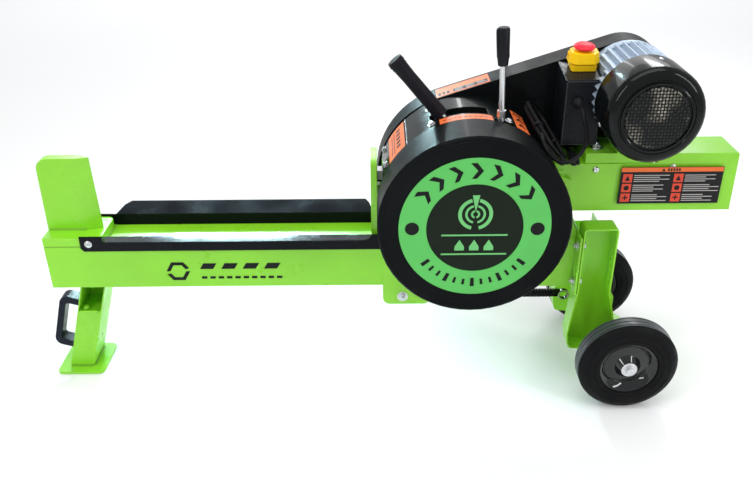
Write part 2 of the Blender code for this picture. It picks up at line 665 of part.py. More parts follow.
def build_near_cover():
    """The drum over the near flywheel: a dished face and a deep rim that ends at the side plate."""
    r = COVER_RADIUS
    y = COVER_FACE_Y
    back = GUARD_NEAR_Y - GAP
    wall = 0.0025
    profile = [(0, y + 0.001), (r - 0.010, y + 0.001), (r - 0.009, y), (r - 0.003, y), (r, y + 0.003), (r, back),
               (r - wall, back), (r - wall, y + wall + 0.003), (r - wall - 0.004, y + wall + 0.001),
               (0, y + wall + 0.001)]
    return finish("near_flywheel_cover", lathe(profile, FLYWHEEL_X, FLYWHEEL_Z, 56), BLACK)


def guard_shell(start, end, y0, y1, steps):
    outer = arc(FLYWHEEL_X, FLYWHEEL_Z, GUARD_RADIUS, start, end, steps)
    inner = arc(FLYWHEEL_X, FLYWHEEL_Z, GUARD_RADIUS - GUARD_WALL, end, start, steps)
    return prism(outer + inner, y0, y1)


def build_guards():
    """Three curved sheets between the near cover and the belt guard."""
    near = GUARD_NEAR_Y
    far = BELT_GUARD_NEAR_Y - GAP
    front = finish("front_guard_shell", guard_shell(111.8, 161.5, near, far, 12), BLACK)
    top = finish("top_guard_shell", guard_shell(72.0, 111.6, near, far, 12), BLACK)
    rear = finish("rear_guard_shell", guard_shell(28.0, 71.8, near, far, 11), BLACK)
    roof = FLYWHEEL_Z + GUARD_RADIUS + 0.01
    for shell in (front, top):
        cut(shell, box(FLYWHEEL_X - 0.076, FLYWHEEL_X + 0.030, -0.040, -0.004, FLYWHEEL_Z + 0.10, roof))
    for shell in (top, rear):
        cut(shell, box(FLYWHEEL_X + 0.0375, FLYWHEEL_X + 0.078, near - 0.01, -0.0570, FLYWHEEL_Z + 0.10, roof))


def build_belt_guard():
    outline = hull_outline(COVER_RADIUS, 0.080)
    inside = hull_outline(COVER_RADIUS - GUARD_WALL, 0.080 - GUARD_WALL)
    guard = finish("belt_guard", prism(outline, BELT_GUARD_NEAR_Y, BELT_GUARD_FAR_Y), BLACK)
    cut(guard, prism(inside, BELT_GUARD_NEAR_Y + 0.0025, BELT_GUARD_FAR_Y + 0.02))
    cut(guard, disc(0.020, 0.0, 0.2, FLYWHEEL_X, FLYWHEEL_Z, 24))
    cut(guard, disc(0.020, 0.0, 0.2, MOTOR_X, MOTOR_Z, 24))
    finish("belt_guard_lid", prism(outline, BELT_GUARD_FAR_Y + GAP, BELT_GUARD_FAR_Y + 0.0025), BLACK)

    y0 = 0.0815
    belt = finish("drive_belt", prism(hull_outline(DRIVEN_PULLEY_RADIUS + 0.0040, MOTOR_PULLEY_RADIUS + 0.0040),
                                      y0, y0 + 0.025), RUBBER)
    inner = hull_outline(DRIVEN_PULLEY_RADIUS + GAP * 2, MOTOR_PULLEY_RADIUS + GAP * 2)
    cut(belt, prism(inner, y0 - 0.01, y0 + 0.035))


# ---------------------------------------------------------------- motor


def fin_outline():
    """Saw-tooth cooling ribs round the stator housing."""
    teeth = 34
    outline = []
    for k in range(teeth):
        start = 360 / teeth * k
        for share, radius in ((0.0, MOTOR_FIN_ROOT), (0.58, MOTOR_FIN_RADIUS), (0.70, MOTOR_FIN_RADIUS)):
            a = math.radians(start + share * 360 / teeth)
            outline.append((MOTOR_X + radius * math.cos(a), MOTOR_Z + radius * math.sin(a)))
    return outline


def terminal_pad():
    """The flat on the motor's side where the switch box is screwed on."""
    return box(MOTOR_X - 0.10, BOX_RIGHT_X + GAP, BOX_NEAR_Y - GAP, 0.09, BOX_BOTTOM_Z - 0.01, BOX_TOP_FAR_Z + 0.012)


def build_motor():
    origin = (MOTOR_X, 0, MOTOR_Z)
    far = BELT_GUARD_NEAR_Y - GAP
    body = finish("motor_housing", prism(fin_outline(), -0.0600, far - 0.0140), ALUMINIUM)
    cut(body, disc(0.0480, -0.1, 0.1, MOTOR_X, MOTOR_Z, 32))
    cut(body, terminal_pad())
    bell = [(0.0105, far - 0.0137), (0.078, far - 0.0137), (0.081, far - 0.010), (0.081, far), (0.0105, far)]
    end_bell = finish("motor_end_bell", lathe(bell, MOTOR_X, MOTOR_Z, 32), ALUMINIUM)
    cut(end_bell, terminal_pad())

    rotor = [(0, -0.112), (0.0095, -0.112), (0.0095, -0.046), (0.0445, -0.046), (0.0445, 0.044), (0.0095, 0.044),
             (0.0095, 0.116), (0, 0.116)]
    finish("motor_rotor", lathe(rotor, MOTOR_X, MOTOR_Z, 28), COPPER, origin)

    r = MOTOR_PULLEY_RADIUS
    pulley = [(0.0098, 0.0780), (r + 0.003, 0.0780), (r + 0.003, 0.0808), (r, 0.0812), (r, 0.1068), (r + 0.003, 0.1072),
              (r + 0.003, 0.1100), (0.0098, 0.1100)]
    finish("motor_pulley", lathe(pulley, MOTOR_X, MOTOR_Z, 28), ALUMINIUM, origin)

    blades = 7
    outline = []
    for k in range(blades):
        start = 360 / blades * k
        for spread, radius in ((-18, 0.020), (-3.0, 0.022), (-2.0, 0.066), (2.0, 0.066), (3.0, 0.022)):
            a = math.radians(start + spread)
            outline.append((MOTOR_X + radius * math.cos(a), MOTOR_Z + radius * math.sin(a)))
    fan = finish("cooling_fan", prism(outline, -0.108, -0.082), PLASTIC, origin)
    cut(fan, disc(0.0098, -0.2, 0.2, MOTOR_X, MOTOR_Z, 24))

    y = COWL_FACE_Y
    rc = COWL_RADIUS
    cowl = [(0, y + 0.0015), (rc - 0.0205, y + 0.0015), (rc - 0.0190, y)] + arc(rc - 0.016, y + 0.016, 0.016, -90, 0, 4)
    cowl += [(rc, -0.0490), (rc - 0.0013, -0.0490), (rc - 0.0013, y + 0.016), (rc - 0.014, y + 0.0035),
             (0, y + 0.0035)]
    finish("motor_fan_cowl", lathe(cowl, MOTOR_X, MOTOR_Z, 40), BLACK)


def build_motor_mount():
    """A saddle on the rear housing with a tab at its left end that shows beside the cowl."""
    top = MOTOR_Z - MOTOR_FIN_RADIUS - GAP
    floor = HOUSING_TOP_Z + GAP
    outline = [(FLYWHEEL_X + 0.213, floor), (FLYWHEEL_X + 0.340, floor), (FLYWHEEL_X + 0.340, floor + 0.005),
               (FLYWHEEL_X + 0.330, floor + 0.005), (FLYWHEEL_X + 0.322, top - 0.002),
               (FLYWHEEL_X + 0.277, top - 0.002), (FLYWHEEL_X + 0.270, 0.488), (FLYWHEEL_X + 0.213, 0.488)]
    mount = finish("motor_mount", prism(outline, -0.0420, 0.0420), GREEN)
    cut(mount, box(FLYWHEEL_X + 0.2175, FLYWHEEL_X + 0.262, -0.038, 0.038, floor - 0.01, 0.484))


# ---------------------------------------------------------------- pusher


def rack_outline():
    """Teeth point down; the back of the bar is flat."""
    pitch = math.pi * GEAR_MODULE
    front = PUSHER_FACE_X + PUSHER_THICKNESS + GAP
    depth = 2.05 * GEAR_MODULE
    outline = [(front, RACK_TOP_Z), (front, RACK_TIP_Z + depth)]
    start = front + 0.010
    for tooth in range(RACK_TEETH):
        x = start + tooth * pitch
        outline += [(x, RACK_TIP_Z + depth), (x + 0.24 * pitch, RACK_TIP_Z), (x + 0.50 * pitch, RACK_TIP_Z),
                    (x + 0.74 * pitch, RACK_TIP_Z + depth)]
    rear = start + RACK_TEETH * pitch
    outline += [(rear, RACK_TIP_Z + depth), (rear, RACK_TOP_Z)]
    return outline


def build_pusher():
    origin = (PUSHER_FACE_X, 0, BEAM_TOP_Z)
    floor = BEAM_TOP_Z + 0.0010
    rear = PUSHER_FACE_X + PUSHER_THICKNESS
    corners = [(-0.040, floor), (0.040, floor), (0.040, 0.4750), (-0.040, 0.4750)]
    face = rounded(corners, [0.002, 0.002, 0.012, 0.012], 4)
    plate = bmesh.new()
    front_ring = [plate.verts.new((PUSHER_FACE_X, y, z)) for y, z in face]
    rear_ring = [plate.verts.new((rear, y, z)) for y, z in face]
    plate.faces.new(front_ring)
    plate.faces.new(list(reversed(rear_ring)))
    for k in range(len(face)):
        m = (k + 1) % len(face)
        plate.faces.new((front_ring[m], front_ring[k], rear_ring[k], rear_ring[m]))
    finish("pusher_plate", plate, GREEN, origin)

    x0 = rear + GAP
    outline = [(x0, floor), (x0 + 0.095, floor), (x0 + 0.095, floor + 0.012), (x0 + 0.060, floor + 0.012),
               (x0 + 0.0095, RACK_TIP_Z - 0.006), (x0, RACK_TIP_Z - 0.006)]
    carriage = finish("pusher_carriage", prism(outline, -0.008, 0.008), GREEN, origin)
    add(carriage, box(x0, x0 + 0.095, -0.0465, 0.0465, floor, floor + 0.0115))
    finish("gear_rack", prism(rack_outline(), -RACK_HALF_WIDTH, RACK_HALF_WIDTH), STEEL, origin)


# ---------------------------------------------------------------- controls

HANDLE_PIVOT = (FLYWHEEL_X - 0.0210, -0.022, 0.5180)
HANDLE_LEAN = 39.9
LEVER_PIVOT = (FLYWHEEL_X + 0.0300, -0.0650, 0.5000)


def build_safety_handle():
    """A thick rubber grip on a steel rod, leaning towards the wedge."""
    a = math.radians(HANDLE_LEAN)
    heading = Vector((-math.sin(a), 0, math.cos(a)))
    pivot = Vector(HANDLE_PIVOT)
    steel = finish("handle_rod", rod(pivot - heading * 0.004, pivot + heading * 0.140, 0.0065, 14), ZINC, pivot)
    add(steel, disc(0.0110, pivot.y - 0.012, pivot.y + 0.012, pivot.x, pivot.z, 20))

    profile = [(0.0068, 0.053), (0.0130, 0.053), (0.0138, 0.057), (0.0132, 0.145), (0.0142, 0.172), (0.0150, 0.180),
               (0.0140, 0.1845), (0, 0.1850), (0, 0.1406), (0.0068, 0.1406)]
    grip = upright(lathe(profile, 0, 0, 20))
    rotate(grip, -HANDLE_LEAN, "Y", (0, 0, 0))
    finish("handle_grip", move(grip, pivot), RUBBER, pivot)

    post = finish("handle_pivot_bracket", box(pivot.x - 0.014, pivot.x + 0.014, -SIDE_PLATE_INNER_Y + GAP,
                                              SIDE_PLATE_INNER_Y - GAP, pivot.z - 0.034, pivot.z - 0.030), BLACK)
    for y0, y1 in ((pivot.y - 0.0155, pivot.y - 0.0125), (pivot.y + 0.0125, pivot.y + 0.0155)):
        add(post, box(pivot.x - 0.009, pivot.x + 0.009, y0, y1, pivot.z - 0.032, pivot.z + 0.009))


def build_lever():
    """A cranked steel lever with a ribbed grip, hinged on the outside of the near side plate."""
    pivot = Vector(LEVER_PIVOT)
    path = [Vector((0, 0, 0)), Vector((0.0060, 0, 0.0290)), Vector((0.0190, 0, 0.0640)), Vector((0.0185, 0, 0.0940)),
            Vector((0.0150, 0, 0.1800))]
    thick = (0.0048, 0.0048, 0.0052, 0.0052)
    lever = finish("operating_lever", disc(0.0085, pivot.y - 0.0050, pivot.y + 0.0095, pivot.x, pivot.z, 20), ZINC, pivot)
    for start, end, radius in zip(path, path[1:], thick):
        along = (end - start).normalized() * 0.003
        add(lever, rod(pivot + start - along, pivot + end + along, radius, 12))
    add(lever, rod(pivot + path[2] + Vector((0, 0, 0.004)), pivot + path[2] + Vector((0, 0, 0.016)), 0.0082, 6))

    outline = [(0.0060, 0.0), (0.0088, 0.0), (0.0108, 0.018), (0.0108, 0.060), (0.0095, 0.065), (0, 0.066),
               (0, 0.0240), (0.0060, 0.0240)]
    grip = upright(lathe(outline, 0, 0, 20))
    lean = math.degrees(math.atan2(path[4].x - path[3].x, path[4].z - path[3].z))
    rotate(grip, lean, "Y", (0, 0, 0))
    foot = path[3] + (path[4] - path[3]).normalized() * 0.0655
    finish("lever_grip", move(grip, pivot + foot), PLASTIC, pivot)


def upright(shape):
    """Turns a shape revolved about the Y axis so that it stands along Z."""
    return rotate(shape, 90, "X", (0, 0, 0))


def build_switch_box():
    outline = [(BOX_NEAR_Y, BOX_BOTTOM_Z), (BELT_GUARD_NEAR_Y - GAP, BOX_BOTTOM_Z - 0.004),
               (BELT_GUARD_NEAR_Y - GAP, BOX_TOP_FAR_Z), (BOX_NEAR_Y, BOX_TOP_NEAR_Z)]
    shape = bmesh.new()
    left = [shape.verts.new((BOX_LEFT_X, y, z)) for y, z in outline]
    right = [shape.verts.new((BOX_RIGHT_X - 0.0015 * (y > 0), y, z)) for y, z in outline]
    shape.faces.new(left)
    shape.faces.new(list(reversed(right)))
    for k in range(4):
        m = (k + 1) % 4
        shape.faces.new((left[m], left[k], right[k], right[m]))
    box_part = finish("switch_box", shape, BLACK, smooth=False)
    add_bevel(box_part, 0.0012)


def add_bevel(part, width, segments=1):
    bevel = part.modifiers.new("Bevel", "BEVEL")
    bevel.width = width
    bevel.segments = segments
    bevel.limit_method = "ANGLE"
    bevel.angle_limit = math.radians(40)


SWITCH_X = FLYWHEEL_X + 0.2065
SWITCH_Y = 0.0340
SWITCH_TILT = math.degrees(math.atan2(BOX_TOP_FAR_Z - BOX_TOP_NEAR_Z, BELT_GUARD_NEAR_Y - BOX_NEAR_Y))


def tilted(shape):
    """Lays a shape drawn level on the switch box's sloping top."""
    z = BOX_TOP_NEAR_Z + (SWITCH_Y - BOX_NEAR_Y) * math.tan(math.radians(SWITCH_TILT))
    rotate(shape, SWITCH_TILT, "X", (0, 0, 0))
    return move(shape, (SWITCH_X, SWITCH_Y, z))


def plan_prism(outline, z0, z1, top_scale=1.0):
    """A solid with an outline of (x, y) points, narrowed towards its top."""
    shape = bmesh.new()
    low = [shape.verts.new((x, y, z0)) for x, y in outline]
    high = [shape.verts.new((x * top_scale, y * top_scale, z1)) for x, y in outline]
    shape.faces.new(list(reversed(low)))
    shape.faces.new(high)
    for k in range(len(outline)):
        m = (k + 1) % len(outline)
        shape.faces.new((low[k], low[m], high[m], high[k]))
    return shape


def build_switch():
    """Push-button switch: a base, two buttons, and a hinged flap that carries the stop mushroom."""
    base_outline = rounded([(-0.023, -0.019), (0.023, -0.019), (0.023, 0.019), (-0.023, 0.019)], [0.004] * 4, 2)
    base = finish("switch_base", tilted(plan_prism(base_outline, 0.0006, 0.0120)), YELLOW)
    for x in (-0.0105, 0.0105):
        well = rounded([(x - 0.0080, -0.010), (x + 0.0080, -0.010), (x + 0.0080, 0.010), (x - 0.0080, 0.010)],
                       [0.002] * 4, 2)
        cut(base, tilted(plan_prism(well, 0.0050, 0.0300)))
    for name, x, material in (("start_button", -0.0105, GREEN_BUTTON), ("stop_button", 0.0105, RED)):
        cap = rounded([(x - 0.0076, -0.0096), (x + 0.0076, -0.0096), (x + 0.0076, 0.0096), (x - 0.0076, 0.0096)],
                      [0.0018] * 4, 2)
        shape = tilted(plan_prism(cap, 0.0085, 0.0135))
        finish(name, shape, material, tilted_point((x, 0, 0.011)))

    flap_outline = rounded([(-0.0285, -0.010), (-0.018, -0.0215), (0.018, -0.0215), (0.0285, -0.010),
                            (0.0285, 0.012), (0.020, 0.0205), (-0.020, 0.0205), (-0.0285, 0.012)], [0.003] * 8, 2)
    hinge = tilted_point((0, 0.0215, 0.0170))
    flap = finish("switch_flap", tilted(plan_prism(flap_outline, 0.0145, 0.0330, 0.86)), YELLOW, hinge)
    hollow = [(x * 0.86, y * 0.86) for x, y in flap_outline]
    cut(flap, tilted(plan_prism(hollow, 0.0100, 0.0300, 0.86)))
    cut(flap, tilted(move(upright(disc(0.0066, -0.05, 0.05, 0, 0, 20)), (0, 0.003, 0))))
    mushroom = [(0, 0.0260), (0.0060, 0.0260), (0.0060, 0.0356), (0.0130, 0.0356), (0.0190, 0.0380), (0.0198, 0.0405),
                (0.0160, 0.0432), (0, 0.0448)]
    cap = upright(lathe([(radius, height) for radius, height in mushroom], 0, 0, 24))
    finish("stop_mushroom", tilted(move(cap, (0, 0.003, 0))), RED, tilted_point((0, 0.003, 0.035)))


def tilted_point(point):
    marker = bmesh.new()
    marker.verts.new(point)
    tilted(marker)
    marker.verts.ensure_lookup_table()
    place = marker.verts[0].co.copy()
    marker.free()
    return place


# ---------------------------------------------------------------- cord

GLAND = (FLYWHEEL_X + 0.193, BOX_NEAR_Y - GAP, 0.5770)


def hank_line():
    """The middle line of the folded cord: a long oval that leans on the drum's rear shoulder."""
    middle = Vector((FLYWHEEL_X + 0.137, -0.028, 0.524))
    along = Vector((0.236, -0.890, -0.389)).normalized()
    across = Vector((0.610, 0.447, -0.653))
    across = (across - along * across.dot(along)).normalized()
    half = []
    for k in range(9):
        turn = math.pi * k / 8
        half.append((HANK_HALF_RUN + HANK_FOLD * math.sin(turn), HANK_FOLD * math.cos(turn)))
    half += [(HANK_HALF_RUN * (1 - k / 4), -HANK_FOLD) for k in range(1, 8)]
    line = []
    for u, v in half + [(-u, -v) for u, v in half]:
        point = middle + along * u + across * v
        lean = math.atan2(point.x - FLYWHEEL_X, point.z - FLYWHEEL_Z)
        radius = max(HANK_DRAPE_RADIUS, math.hypot(point.x - FLYWHEEL_X, point.z - FLYWHEEL_Z))
        line.append(Vector((FLYWHEEL_X + radius * math.sin(lean), point.y, FLYWHEEL_Z + radius * math.cos(lean))))
    return line


def build_hank():
    line = hank_line()
    count = len(line)
    around = 10
    hank = bmesh.new()
    rings = []
    for k, here in enumerate(line):
        ahead = (line[(k + 1) % count] - line[k - 1]).normalized()
        out = (here - Vector((FLYWHEEL_X, here.y, FLYWHEEL_Z))).normalized()
        side = ahead.cross(out).normalized()
        out = side.cross(ahead)
        spokes = [2 * math.pi * m / around for m in range(around)]
        rings.append([hank.verts.new(here + (out * math.sin(a) + side * math.cos(a)) * HANK_RADIUS) for a in spokes])
    for k in range(count):
        following = rings[(k + 1) % count]
        for m in range(around):
            n = (m + 1) % around
            hank.faces.new((rings[k][m], rings[k][n], following[n], following[m]))
    finish("cord_coil", hank, CORD)


def build_cord():
    x, y, z = GLAND
    profile = [(0, y), (0.0100, y), (0.0100, y - 0.004), (0.0085, y - 0.005), (0.0085, y - 0.011), (0.0062, y - 0.014),
               (0.0050, y - 0.024), (0, y - 0.024)]
    finish("cable_gland", lathe(profile, x, z, 18), PLASTIC)
    build_hank()

    fx = FLYWHEEL_X
    lead = [(fx + 0.1930, -0.0446, 0.5770), (fx + 0.1930, -0.0536, 0.5770), (fx + 0.1927, -0.0648, 0.5732),
            (fx + 0.1932, -0.0738, 0.5658), (fx + 0.1950, -0.0798, 0.5559), (fx + 0.1968, -0.0844, 0.5453),
            (fx + 0.1976, -0.0887, 0.5346), (fx + 0.1956, -0.0930, 0.5239), (fx + 0.1901, -0.0976, 0.5147),
            (fx + 0.1826, -0.1025, 0.5072), (fx + 0.1736, -0.1072, 0.5017), (fx + 0.1629, -0.1109, 0.4994),
            (fx + 0.1514, -0.1129, 0.5008), (fx + 0.1408, -0.1126, 0.5057), (fx + 0.1323, -0.1095, 0.5132),
            (fx + 0.1262, -0.1028, 0.5207), (fx + 0.1231, -0.0934, 0.5268)]
    tube_curve("power_cord", smooth_route(lead, 0.009), CORD_RADIUS, CORD, 2)

    plug_x = fx + 0.1900
    plug_z = HOUSING_TOP_Z + GAP + 0.0095
    body = [(0, -0.0560), (0.0060, -0.0560), (0.0095, -0.0540), (0.0095, -0.0300), (0.0070, -0.0260),
            (0.0052, -0.0100), (0, -0.0100)]
    plug = finish("mains_plug", lathe(body, plug_x, plug_z, 20), PLASTIC)
    for dx in (-0.0048, 0.0048):
        add(plug, rod((plug_x + dx, -0.0550, plug_z), (plug_x + dx, -0.0690, plug_z), 0.0016, 8))

    tail = [(plug_x, -0.0100 + GAP, plug_z), (plug_x, 0.0010, plug_z), (fx + 0.1888, 0.0130, plug_z),
            (fx + 0.1853, 0.0245, plug_z + 0.0008), (fx + 0.1790, 0.0350, 0.4815), (fx + 0.1695, 0.0428, 0.4866),
            (fx + 0.1595, 0.0478, 0.4958), (fx + 0.1508, 0.0498, 0.5075), (fx + 0.1440, 0.0495, 0.5205),
            (fx + 0.1375, 0.0470, 0.5315)]
    tube_curve("cord_tail", smooth_route(tail, 0.008), CORD_RADIUS, CORD, 2)


# ---------------------------------------------------------------- underside


def build_return_rod():
    """A flat bar with an eye under the beam, where the return spring hooks on."""
    z = 0.1620
    bar = finish("spring_anchor_bar", box(FLYWHEEL_X - 0.150, FLYWHEEL_X + 0.2045, -0.003, 0.003, z - 0.008, z + 0.008),
                 BLACK)
    eye = FLYWHEEL_X + 0.2130
    add(bar, disc(0.0120, -0.003, 0.003, eye, z - 0.004, 24))
    cut(bar, disc(0.0080, -0.05, 0.05, eye, z - 0.004, 24))
    add(bar, box(FLYWHEEL_X - 0.146, FLYWHEEL_X - 0.116, -0.0030, 0.0030, z, BEAM_BOTTOM_Z - GAP))
    add(bar, box(FLYWHEEL_X + 0.050, FLYWHEEL_X + 0.080, -0.0030, 0.0030, z, BEAM_BOTTOM_Z - GAP))


build_beam()
build_wedge()
build_front_leg()
build_lift_handle()
build_trays()
build_side_plate("near_side_plate", -1)
build_side_plate("far_side_plate", 1)
build_rear_frame()
build_wheel_leg("near_wheel_leg", -1)
build_wheel_leg("far_wheel_leg", 1)
build_wheel("near", -1)
build_wheel("far", 1)
build_axle()
build_flywheel_shaft()
build_bearing("near_bearing", -1)
build_bearing("far_bearing", 1)
build_near_cover()
build_guards()
build_belt_guard()
build_motor()
build_motor_mount()
build_pusher()
build_safety_handle()
build_lever()
build_switch_box()
build_switch()
build_cord()
build_return_rod()
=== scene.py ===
import math
import random

import bmesh
import bpy
from mathutils import Matrix, Vector


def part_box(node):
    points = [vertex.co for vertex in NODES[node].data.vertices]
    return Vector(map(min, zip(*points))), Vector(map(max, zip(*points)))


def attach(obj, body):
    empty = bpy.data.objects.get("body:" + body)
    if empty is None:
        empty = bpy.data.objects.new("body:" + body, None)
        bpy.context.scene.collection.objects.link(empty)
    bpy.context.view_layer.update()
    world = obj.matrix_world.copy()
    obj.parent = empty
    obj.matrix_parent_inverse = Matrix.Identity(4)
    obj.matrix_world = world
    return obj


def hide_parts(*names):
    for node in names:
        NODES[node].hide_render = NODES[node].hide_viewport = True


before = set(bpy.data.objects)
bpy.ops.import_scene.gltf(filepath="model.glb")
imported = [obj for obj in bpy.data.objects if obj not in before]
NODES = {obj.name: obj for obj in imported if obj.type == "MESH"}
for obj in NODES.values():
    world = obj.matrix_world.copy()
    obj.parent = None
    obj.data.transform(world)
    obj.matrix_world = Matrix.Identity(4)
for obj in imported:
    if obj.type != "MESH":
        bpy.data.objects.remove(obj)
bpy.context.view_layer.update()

cover_low, cover_high = (Vector(corner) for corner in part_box("near_flywheel_cover"))
FX = (cover_low.x + cover_high.x) / 2  # the flywheel axis
FZ = (cover_low.z + cover_high.z) / 2
DISC_FACE_Y = cover_low.y
GUARD_R = 0.170
LABEL = 0.0003  # heights over the metal: a label, the print on it, and print on that print
INK = 0.00045
TOP_INK = 0.0006
NEAR, FAR, LEFT, RIGHT, UP = (0, -1, 0), (0, 1, 0), (-1, 0, 0), (1, 0, 0), (0, 0, 1)


def at(x, y, z):
    """A place given along the beam from the flywheel axis, in metres."""
    return Vector((FX + x, y, z))


def srgb(*colour):
    """A linear colour from one written as 0 to 255."""
    return tuple(c / 12.92 if c <= 0.04045 else ((c + 0.055) / 1.055) ** 2.4
                 for c in (level / 255 for level in colour))


# ---------------------------------------------------------------- camera

CAMERA_PLACE = (0.0137, -1.4096, 1.0425)
YAW, DOWN, ROLL = (math.radians(a) for a in (-0.0653, 28.6501, -0.5215))
LENS_MM = 38.18
CAMERA_SHIFT = (-0.0041, 0.0097)

camera_data = bpy.data.cameras.new("camera")
camera_data.lens = LENS_MM
camera_data.sensor_width = 36.0
camera_data.shift_x, camera_data.shift_y = CAMERA_SHIFT
camera = bpy.data.objects.new("camera", camera_data)
bpy.context.scene.collection.objects.link(camera)
forward = Vector((math.sin(YAW) * math.cos(DOWN), math.cos(YAW) * math.cos(DOWN), -math.sin(DOWN)))
level_right = Vector((math.cos(YAW), -math.sin(YAW), 0.0))
level_up = level_right.cross(forward)
cam_right = math.cos(ROLL) * level_right + math.sin(ROLL) * level_up
cam_up = math.cos(ROLL) * level_up - math.sin(ROLL) * level_right
pose = Matrix((cam_right, cam_up, -forward)).transposed().to_4x4()
pose.translation = CAMERA_PLACE
camera.matrix_world = pose
bpy.context.scene.camera = camera

# ---------------------------------------------------------------- materials


class Shader:
    """A Principled material; its colour, roughness and bump come from textures in object space."""

    def __init__(self, name, colour, roughness, metallic=0.0):
        self.material = bpy.data.materials.new(name)
        self.material.use_nodes = True
        self.tree = self.material.node_tree
        self.main = self.tree.nodes["Principled BSDF"]
        self.main.inputs["Metallic"].default_value = metallic
        self.main.inputs["Roughness"].default_value = roughness
        self.main.inputs["Base Color"].default_value = (*colour, 1.0)
        self.place = self.tree.nodes.new("ShaderNodeTexCoord").outputs["Object"]
        self.colour = None
        self.base = colour
        self.roughness = roughness
        self.normal = None

    def link(self, a, b):
        self.tree.links.new(a, b)

    def stretched(self, scale):
        node = self.tree.nodes.new("ShaderNodeMapping")
        node.inputs["Scale"].default_value = scale
        self.link(self.place, node.inputs["Vector"])
        return node.outputs["Vector"]

    def noise(self, scale, detail=3.0, stretch=None, distortion=0.0):
        node = self.tree.nodes.new("ShaderNodeTexNoise")
        node.inputs["Scale"].default_value = scale
        node.inputs["Detail"].default_value = detail
        node.inputs["Distortion"].default_value = distortion
        self.link(self.stretched(stretch) if stretch else self.place, node.inputs["Vector"])
        return node.outputs["Fac"]

    def ramp(self, value, low, high, start=0.0, end=1.0):
        node = self.tree.nodes.new("ShaderNodeMapRange")
        for key, number in (("From Min", low), ("From Max", high), ("To Min", start), ("To Max", end)):
            node.inputs[key].default_value = number
        self.link(value, node.inputs["Value"])
        return node.outputs["Result"]

    def paint(self, factor, colour):
        """Lays another colour over what is there, by the factor."""
        node = self.tree.nodes.new("ShaderNodeMix")
        node.data_type = "RGBA"
        self.link(factor, node.inputs["Factor"])
        if self.colour is None:
            node.inputs[6].default_value = (*self.base, 1.0)
        else:
            self.link(self.colour, node.inputs[6])
        node.inputs[7].default_value = (*colour, 1.0)
        self.colour = node.outputs[2]
        self.link(self.colour, self.main.inputs["Base Color"])

    def gloss(self, factor, low, high):
        self.link(self.ramp(factor, 0.3, 0.7, low, high), self.main.inputs["Roughness"])

    def bump(self, height, strength, distance):
        node = self.tree.nodes.new("ShaderNodeBump")
        node.inputs["Strength"].default_value = strength
        node.inputs["Distance"].default_value = distance
        self.link(height, node.inputs["Height"])
        if self.normal is not None:
            self.link(self.normal, node.inputs["Normal"])
        self.normal = node.outputs["Normal"]
        self.link(self.normal, self.main.inputs["Normal"])


def scaled(colour, factor):
    return tuple(min(1.0, c * factor) for c in colour)


def powder_coat(name, colour, roughness=0.32, coat=0.16):
    s = Shader(name, colour, roughness)
    s.paint(s.ramp(s.noise(5.0, 3.0), 0.35, 0.7), scaled(colour, 0.86))
    s.paint(s.ramp(s.noise(38.0, 4.0), 0.62, 0.80, 0.0, 0.15), scaled(colour, 1.12))
    s.paint(s.ramp(s.noise(900.0, 1.0), 0.66, 0.78, 0.0, 0.25), scaled(colour, 0.7))
    s.gloss(s.noise(22.0, 4.0), roughness - 0.07, roughness + 0.10)
    s.bump(s.noise(420.0, 2.0), 0.16, 0.0004)
    s.bump(s.noise(60.0, 2.0), 0.05, 0.0015)
    s.main.inputs["Coat Weight"].default_value = coat
    s.main.inputs["Coat Roughness"].default_value = 0.12
    return s.material


def gloss_black(name, colour=(0.0030, 0.0042, 0.0040), roughness=0.16, coat=0.26, dust=0.02):
    s = Shader(name, colour, roughness)
    s.paint(s.ramp(s.noise(7.0, 3.0), 0.35, 0.75), scaled(colour, 1.7))
    s.paint(s.ramp(s.noise(140.0, 6.0), 0.60, 0.80, 0.0, dust), (0.16, 0.16, 0.15))
    s.gloss(s.noise(16.0, 5.0), roughness - 0.05, roughness + 0.12)
    s.bump(s.noise(260.0, 2.0), 0.10, 0.0004)
    s.bump(s.noise(26.0, 2.0), 0.05, 0.002)
    s.main.inputs["Coat Weight"].default_value = coat
    s.main.inputs["Coat Roughness"].default_value = 0.04
    s.main.inputs["Specular IOR Level"].default_value = 0.05
    return s.material


def metal(name, colour, roughness, grain=(1.0, 1.0, 1.0), scale=240.0, stain=0.35, pits=0.10):
    s = Shader(name, colour, roughness, 1.0)
    s.paint(s.ramp(s.noise(18.0, 5.0), 0.45, 0.75, 0.0, stain), scaled(colour, 0.55))
    s.paint(s.ramp(s.noise(scale, 4.0, grain), 0.40, 0.80, 0.0, 0.45), scaled(colour, 0.78))
    s.gloss(s.noise(scale * 0.7, 4.0, grain), roughness - 0.08, roughness + 0.14)
    s.bump(s.noise(scale, 4.0, grain), pits, 0.0005)
    return s.material


def cast(name, colour, roughness, metallic, depth=0.35):
    s = Shader(name, colour, roughness, metallic)
    s.paint(s.ramp(s.noise(9.0, 4.0), 0.4, 0.7, 0.0, 0.6), scaled(colour, 0.80))
    s.paint(s.ramp(s.noise(480.0, 3.0), 0.60, 0.78, 0.0, 0.4), scaled(colour, 0.62))
    s.gloss(s.noise(90.0, 4.0), roughness - 0.08, roughness + 0.12)
    s.bump(s.noise(520.0, 4.0), depth, 0.0005)
    return s.material


def moulded(name, colour, roughness, grain=0.20, fade=1.25, shine=0.14):
    s = Shader(name, colour, roughness)
    s.main.inputs["Specular IOR Level"].default_value = shine
    s.paint(s.ramp(s.noise(14.0, 4.0), 0.40, 0.72, 0.0, 0.7), scaled(colour, fade))
    s.paint(s.ramp(s.noise(300.0, 5.0), 0.64, 0.80, 0.0, 0.25), scaled(colour, 0.75))
    s.gloss(s.noise(60.0, 4.0), roughness - 0.06, roughness + 0.10)
    s.bump(s.noise(1100.0, 2.0), grain, 0.00025)
    return s.material


